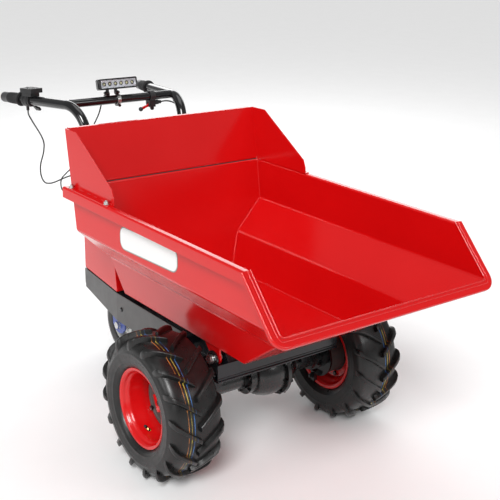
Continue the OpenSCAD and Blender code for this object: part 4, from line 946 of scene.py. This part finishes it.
def work_lamp():
    y0, z1, z2 = -18, 954, 990
    zc = (z1 + z2) / 2
    parts = []
    # housing: one skin from the back, over the rim, into the window
    rings = []
    for x, inset, r in ((-772, 3.0, 4.0), (-771.6, 1.2, 5.0), (-770, 0.0, 6.0), (-756, 0.0, 6.0), (-755.4, 0.7, 5.6), (-753.6, 0.7, 5.6), (-753, 0.0, 6.0), (-743.4, 0.0, 6.0), (-742.3, 0.6, 5.6), (-742, 1.6, 5.0),
                        (-742, 3.6, 4.0), (-742.4, 4.6, 3.2), (-743.2, 5.0, 3.0), (-747.6, 5.0, 3.0)):
        rings.append([(x, y, z) for y, z in rounded_ring(y0 - 70 + inset, y0 + 70 - inset, z1 + inset, z2 - inset, r)])
    verts, faces = [], []
    n = len(rings[0])
    for ring in rings:
        verts += [lean(*q) for q in ring]
    for i in range(len(rings) - 1):
        for k in range(n):
            l = (k + 1) % n
            faces.append((i * n + k, i * n + l, (i + 1) * n + l, (i + 1) * n + k))
    faces.append(tuple(range(n)))
    faces.append(tuple((len(rings) - 1) * n + k for k in range(n)))
    parts.append((verts, faces))
    for i in range(11):
        y = y0 - 60 + 12 * i
        parts.append(rounded_box((-784, y - 1.8, 956.2), (-770, y + 1.8, 987.8), 0.8, 2, lean))
    for y in (-57.5, -26.5):
        parts.append(rounded_box((-767, y, 945.5), (-757, y + 8, 955), 1.0, 2, lean))

        def w(lx, ly, lz, yy=y):
            return lean(-762 + lx, yy + lz, 944 + ly)
        parts.append(revolve([(3.1, 0), (5.4, 0), (6.0, 0.6), (6.0, 7.4), (5.4, 8), (3.1, 8)], w, segs=40))
    for yy in (y0 - 67.3, y0 + 67.3):
        for zz in (957.6, 986.4):
            def w(lx, ly, lz, yy=yy, zz=zz):
                return lean(-742.2 + lz, yy + lx, zz + ly)
            parts.append(revolve([(0.05, 0), (1.7, 0), (1.7, 0.5), (1.3, 0.9), (0.05, 0.9)], w, segs=16))
    v, f = join_meshes(parts)
    link("lamp_housing", mesh("lamp_housing", v, f, angle=40), "lamp", "black_paint", "black_paint", ("lamp_frame",))
    # white plate with six cups
    x_face, n = -745.2, 32
    plate_parts = []
    for i in range(6):
        cy = y0 - 52.5 + 21 * i
        y1, y2 = (y0 - 65 if i == 0 else cy - 10.5), (y0 + 65 if i == 5 else cy + 10.5)
        vs, fs, outer = [], [], []
        for k in range(n):
            a = 2 * math.pi * k / n
            c, q = math.cos(a), math.sin(a)
            ty = (y2 - cy if c > 0 else cy - y1) / max(1e-6, abs(c))
            tz = 13.0 / max(1e-6, abs(q))
            t = min(ty, tz)
            outer.append((cy + t * c, zc + t * q))
        rows = [(x_face, None), (x_face, 9.0), (x_face - 0.3, 8.7), (x_face - 1.4, 7.4), (x_face - 2.0, 5.6), (x_face - 2.2, 4.0)]
        for x, r in rows:
            for k in range(n):
                a = 2 * math.pi * k / n
                vs.append(lean(x, *outer[k]) if r is None else lean(x, cy + r * math.cos(a), zc + r * math.sin(a)))
        for q in range(len(rows) - 1):
            for k in range(n):
                l = (k + 1) % n
                fs.append((q * n + k, q * n + l, (q + 1) * n + l, (q + 1) * n + k))
        fs.append(tuple((len(rows) - 1) * n + k for k in range(n)))
        plate_parts.append((vs, fs))
    v, f = join_meshes(plate_parts)
    link("lamp_reflector", mesh("lamp_reflector", v, f, angle=40), "lamp", "reflector", "grey_plastic")
    leds, rims = [], []
    for i in range(6):
        def w(lx, ly, lz, cy=y0 - 52.5 + 21 * i):
            return lean(-747.3 + lz, cy + lx, zc + ly)
        leds.append(revolve([(0.05, 2.55), (1.6, 2.35), (3.0, 1.7), (3.9, 0.7), (3.9, 0.0), (0.05, 0.0)], w, segs=28))
        rims.append(revolve([(3.95, 0.05), (5.2, 0.5), (6.4, 1.3), (6.5, 1.0), (5.3, 0.1), (3.95, -0.1)], w, segs=28))
    v, f = join_meshes(leds)
    link("lamp_emitters", mesh("lamp_emitters", v, f, angle=50), "lamp", "led", "grey_plastic")
    v, f = join_meshes(rims)
    link("lamp_emitter_cups", mesh("lamp_emitter_cups", v, f, angle=50), "lamp", "black_plastic", "grey_plastic")
    # zinc clamp band with its screw round the crossbar
    clamp = []

    def band(lx, ly, lz):
        return P(-763 + lx, -17 + lz, 920 + ly)
    clamp.append(revolve([(14.1, -6.5), (17.4, -6.5), (17.8, -6.1), (17.8, 6.1), (17.4, 6.5), (14.1, 6.5)], band, segs=72))
    clamp.append(rounded_box((-767.5, -22.5, 899.5), (-758.5, -11.5, 906.5), 0.8, 2))
    v, f = join_meshes(clamp)
    link("lamp_clamp_band", mesh("lamp_clamp_band", v, f, angle=40), "chassis", "zinc", "zinc")


work_lamp()

# ------------------------------------------------------------------ CAD nodes that stay
SLOT_OF = {p["node"]: p["material_slot"] for p in frame["record"]["subparts"]}
SPECIAL = {"hub_right": "hub_grey", "hub_left": "hub_grey", "lamp_lens": "lens", "battery_cover": "red_paint", "pivot_pins": "zinc"}
BEVEL = {
    "tray_ears": 0.0010, "rail_right": 0.0022, "rail_left": 0.0022, "front_beam": 0.0012, "cross_members": 0.0010, "pivot_brackets": 0.0010,
    "battery_cover": 0.0022, "skirt": 0.0008, "caster_fork": 0.0012, "control_pod": 0.0018, "display_glass": 0.0004, "lever_body": 0.0010, "release_lever": 0.0010,
    "headboard_bolts": 0.0005, "pivot_pins": 0.0006, "caster_axle": 0.0006, "caster_plate": 0.0006, "drive_motor": 0.0008, "axle_housing": 0.0012, "housing_bolts": 0.0004,
    "brake_backs": 0.0008, "frame_brackets": 0.0008, "battery_pack": 0.0020, "motor_controller": 0.0006, "lamp_bracket": 0.0005, "throttle_lever": 0.0012,
    "wheel_bolts_right": 0.0005, "wheel_bolts_left": 0.0005, "hub_right": 0.0008, "hub_left": 0.0008, "pod_button": 0.0006,
}
for name, o in N.items():
    if o.hide_render:
        continue
    key = SPECIAL.get(name, SLOT_OF[name])
    o.data.materials.clear()
    o.data.materials.append(M[key])
    for p in o.data.polygons:
        p.use_smooth = name != "skirt"
        p.material_index = 0
    if name == "skirt":
        continue
    modifiers(o, bevel=BEVEL.get(name, 0.0), segments=2, limit=38.0, weld=True)

# rolled lip along the beam's foot
v, f = join_meshes([rounded_box((109, -215.5, 284.2), (118.6, 215.5, 290.4), 2.4, 4), rounded_box((112.5, -215.5, 294.0), (116.4, 215.5, 297.6), 1.6, 3)])
link("front_beam_lip", mesh("front_beam_lip", v, f, angle=40), "chassis", "slate_paint", SLOT_OF["front_beam"])

# ------------------------------------------------------------------ floor, light
def studio():
    bm = bmesh.new()
    bmesh.ops.create_grid(bm, x_segments=1, y_segments=1, size=45.0)
    me = bpy.data.meshes.new("floor")
    bm.to_mesh(me)
    bm.free()
    o = bpy.data.objects.new("floor", me)
    scene.collection.objects.link(o)
    o.location = (0, 0, -0.0005)
    me.materials.append(mat("studio_floor", (0.95, 0.95, 0.95), rough=0.7, tint=0.01, bumps=((300.0, 0.00005, 2.0, "noise"),)))
    world = bpy.data.worlds.new("studio")
    scene.world = world
    world.use_nodes = True
    bg = world.node_tree.nodes["Background"]
    bg.inputs["Color"].default_value = (1.0, 1.0, 1.0, 1)
    bg.inputs["Strength"].default_value = 0.30

    def aim(ob, loc, target):
        ob.location = loc
        ob.rotation_mode = "QUATERNION"
        ob.rotation_quaternion = (Vector(target) - Vector(loc)).to_track_quat("-Z", "Y")

    sun = bpy.data.lights.new("sun", "SUN")
    sun.energy, sun.angle = 2.5, math.radians(22)
    so = bpy.data.objects.new("sun", sun)
    scene.collection.objects.link(so)
    aim(so, (1.7, -1.7, 2.1), (0, 0, 0))

    def area(name, loc, target, size, power, size_y=None):
        li = bpy.data.lights.new(name, "AREA")
        li.energy = power
        li.shape = "RECTANGLE"
        li.size, li.size_y = size, size_y or size
        ob = bpy.data.objects.new(name, li)
        scene.collection.objects.link(ob)
        aim(ob, loc, target)
    area("top_softbox", (-0.4, 0.3, 3.0), (0, 0, 0.5), 1.8, 14, 1.6)
    area("horizon_softbox", (-2.5, 1.9, 1.95), (0, 0, 0.75), 3.4, 40, 1.3)
    area("key_softbox", (0.2, -3.2, 1.5), (0, 0, 0.6), 1.5, 20, 1.0)
    area("backdrop_wash", (-2.7, 2.05, 2.0), (-6.0, 4.6, 0.2), 3.4, 46, 1.3)
    area("front_softbox", (3.4, 1.4, 2.3), (0, 0, 0.5), 1.2, 16, 0.9)


studio()
scene.view_settings.view_transform = "Standard"
scene.view_settings.look = "None"
scene.view_settings.exposure = 0.0
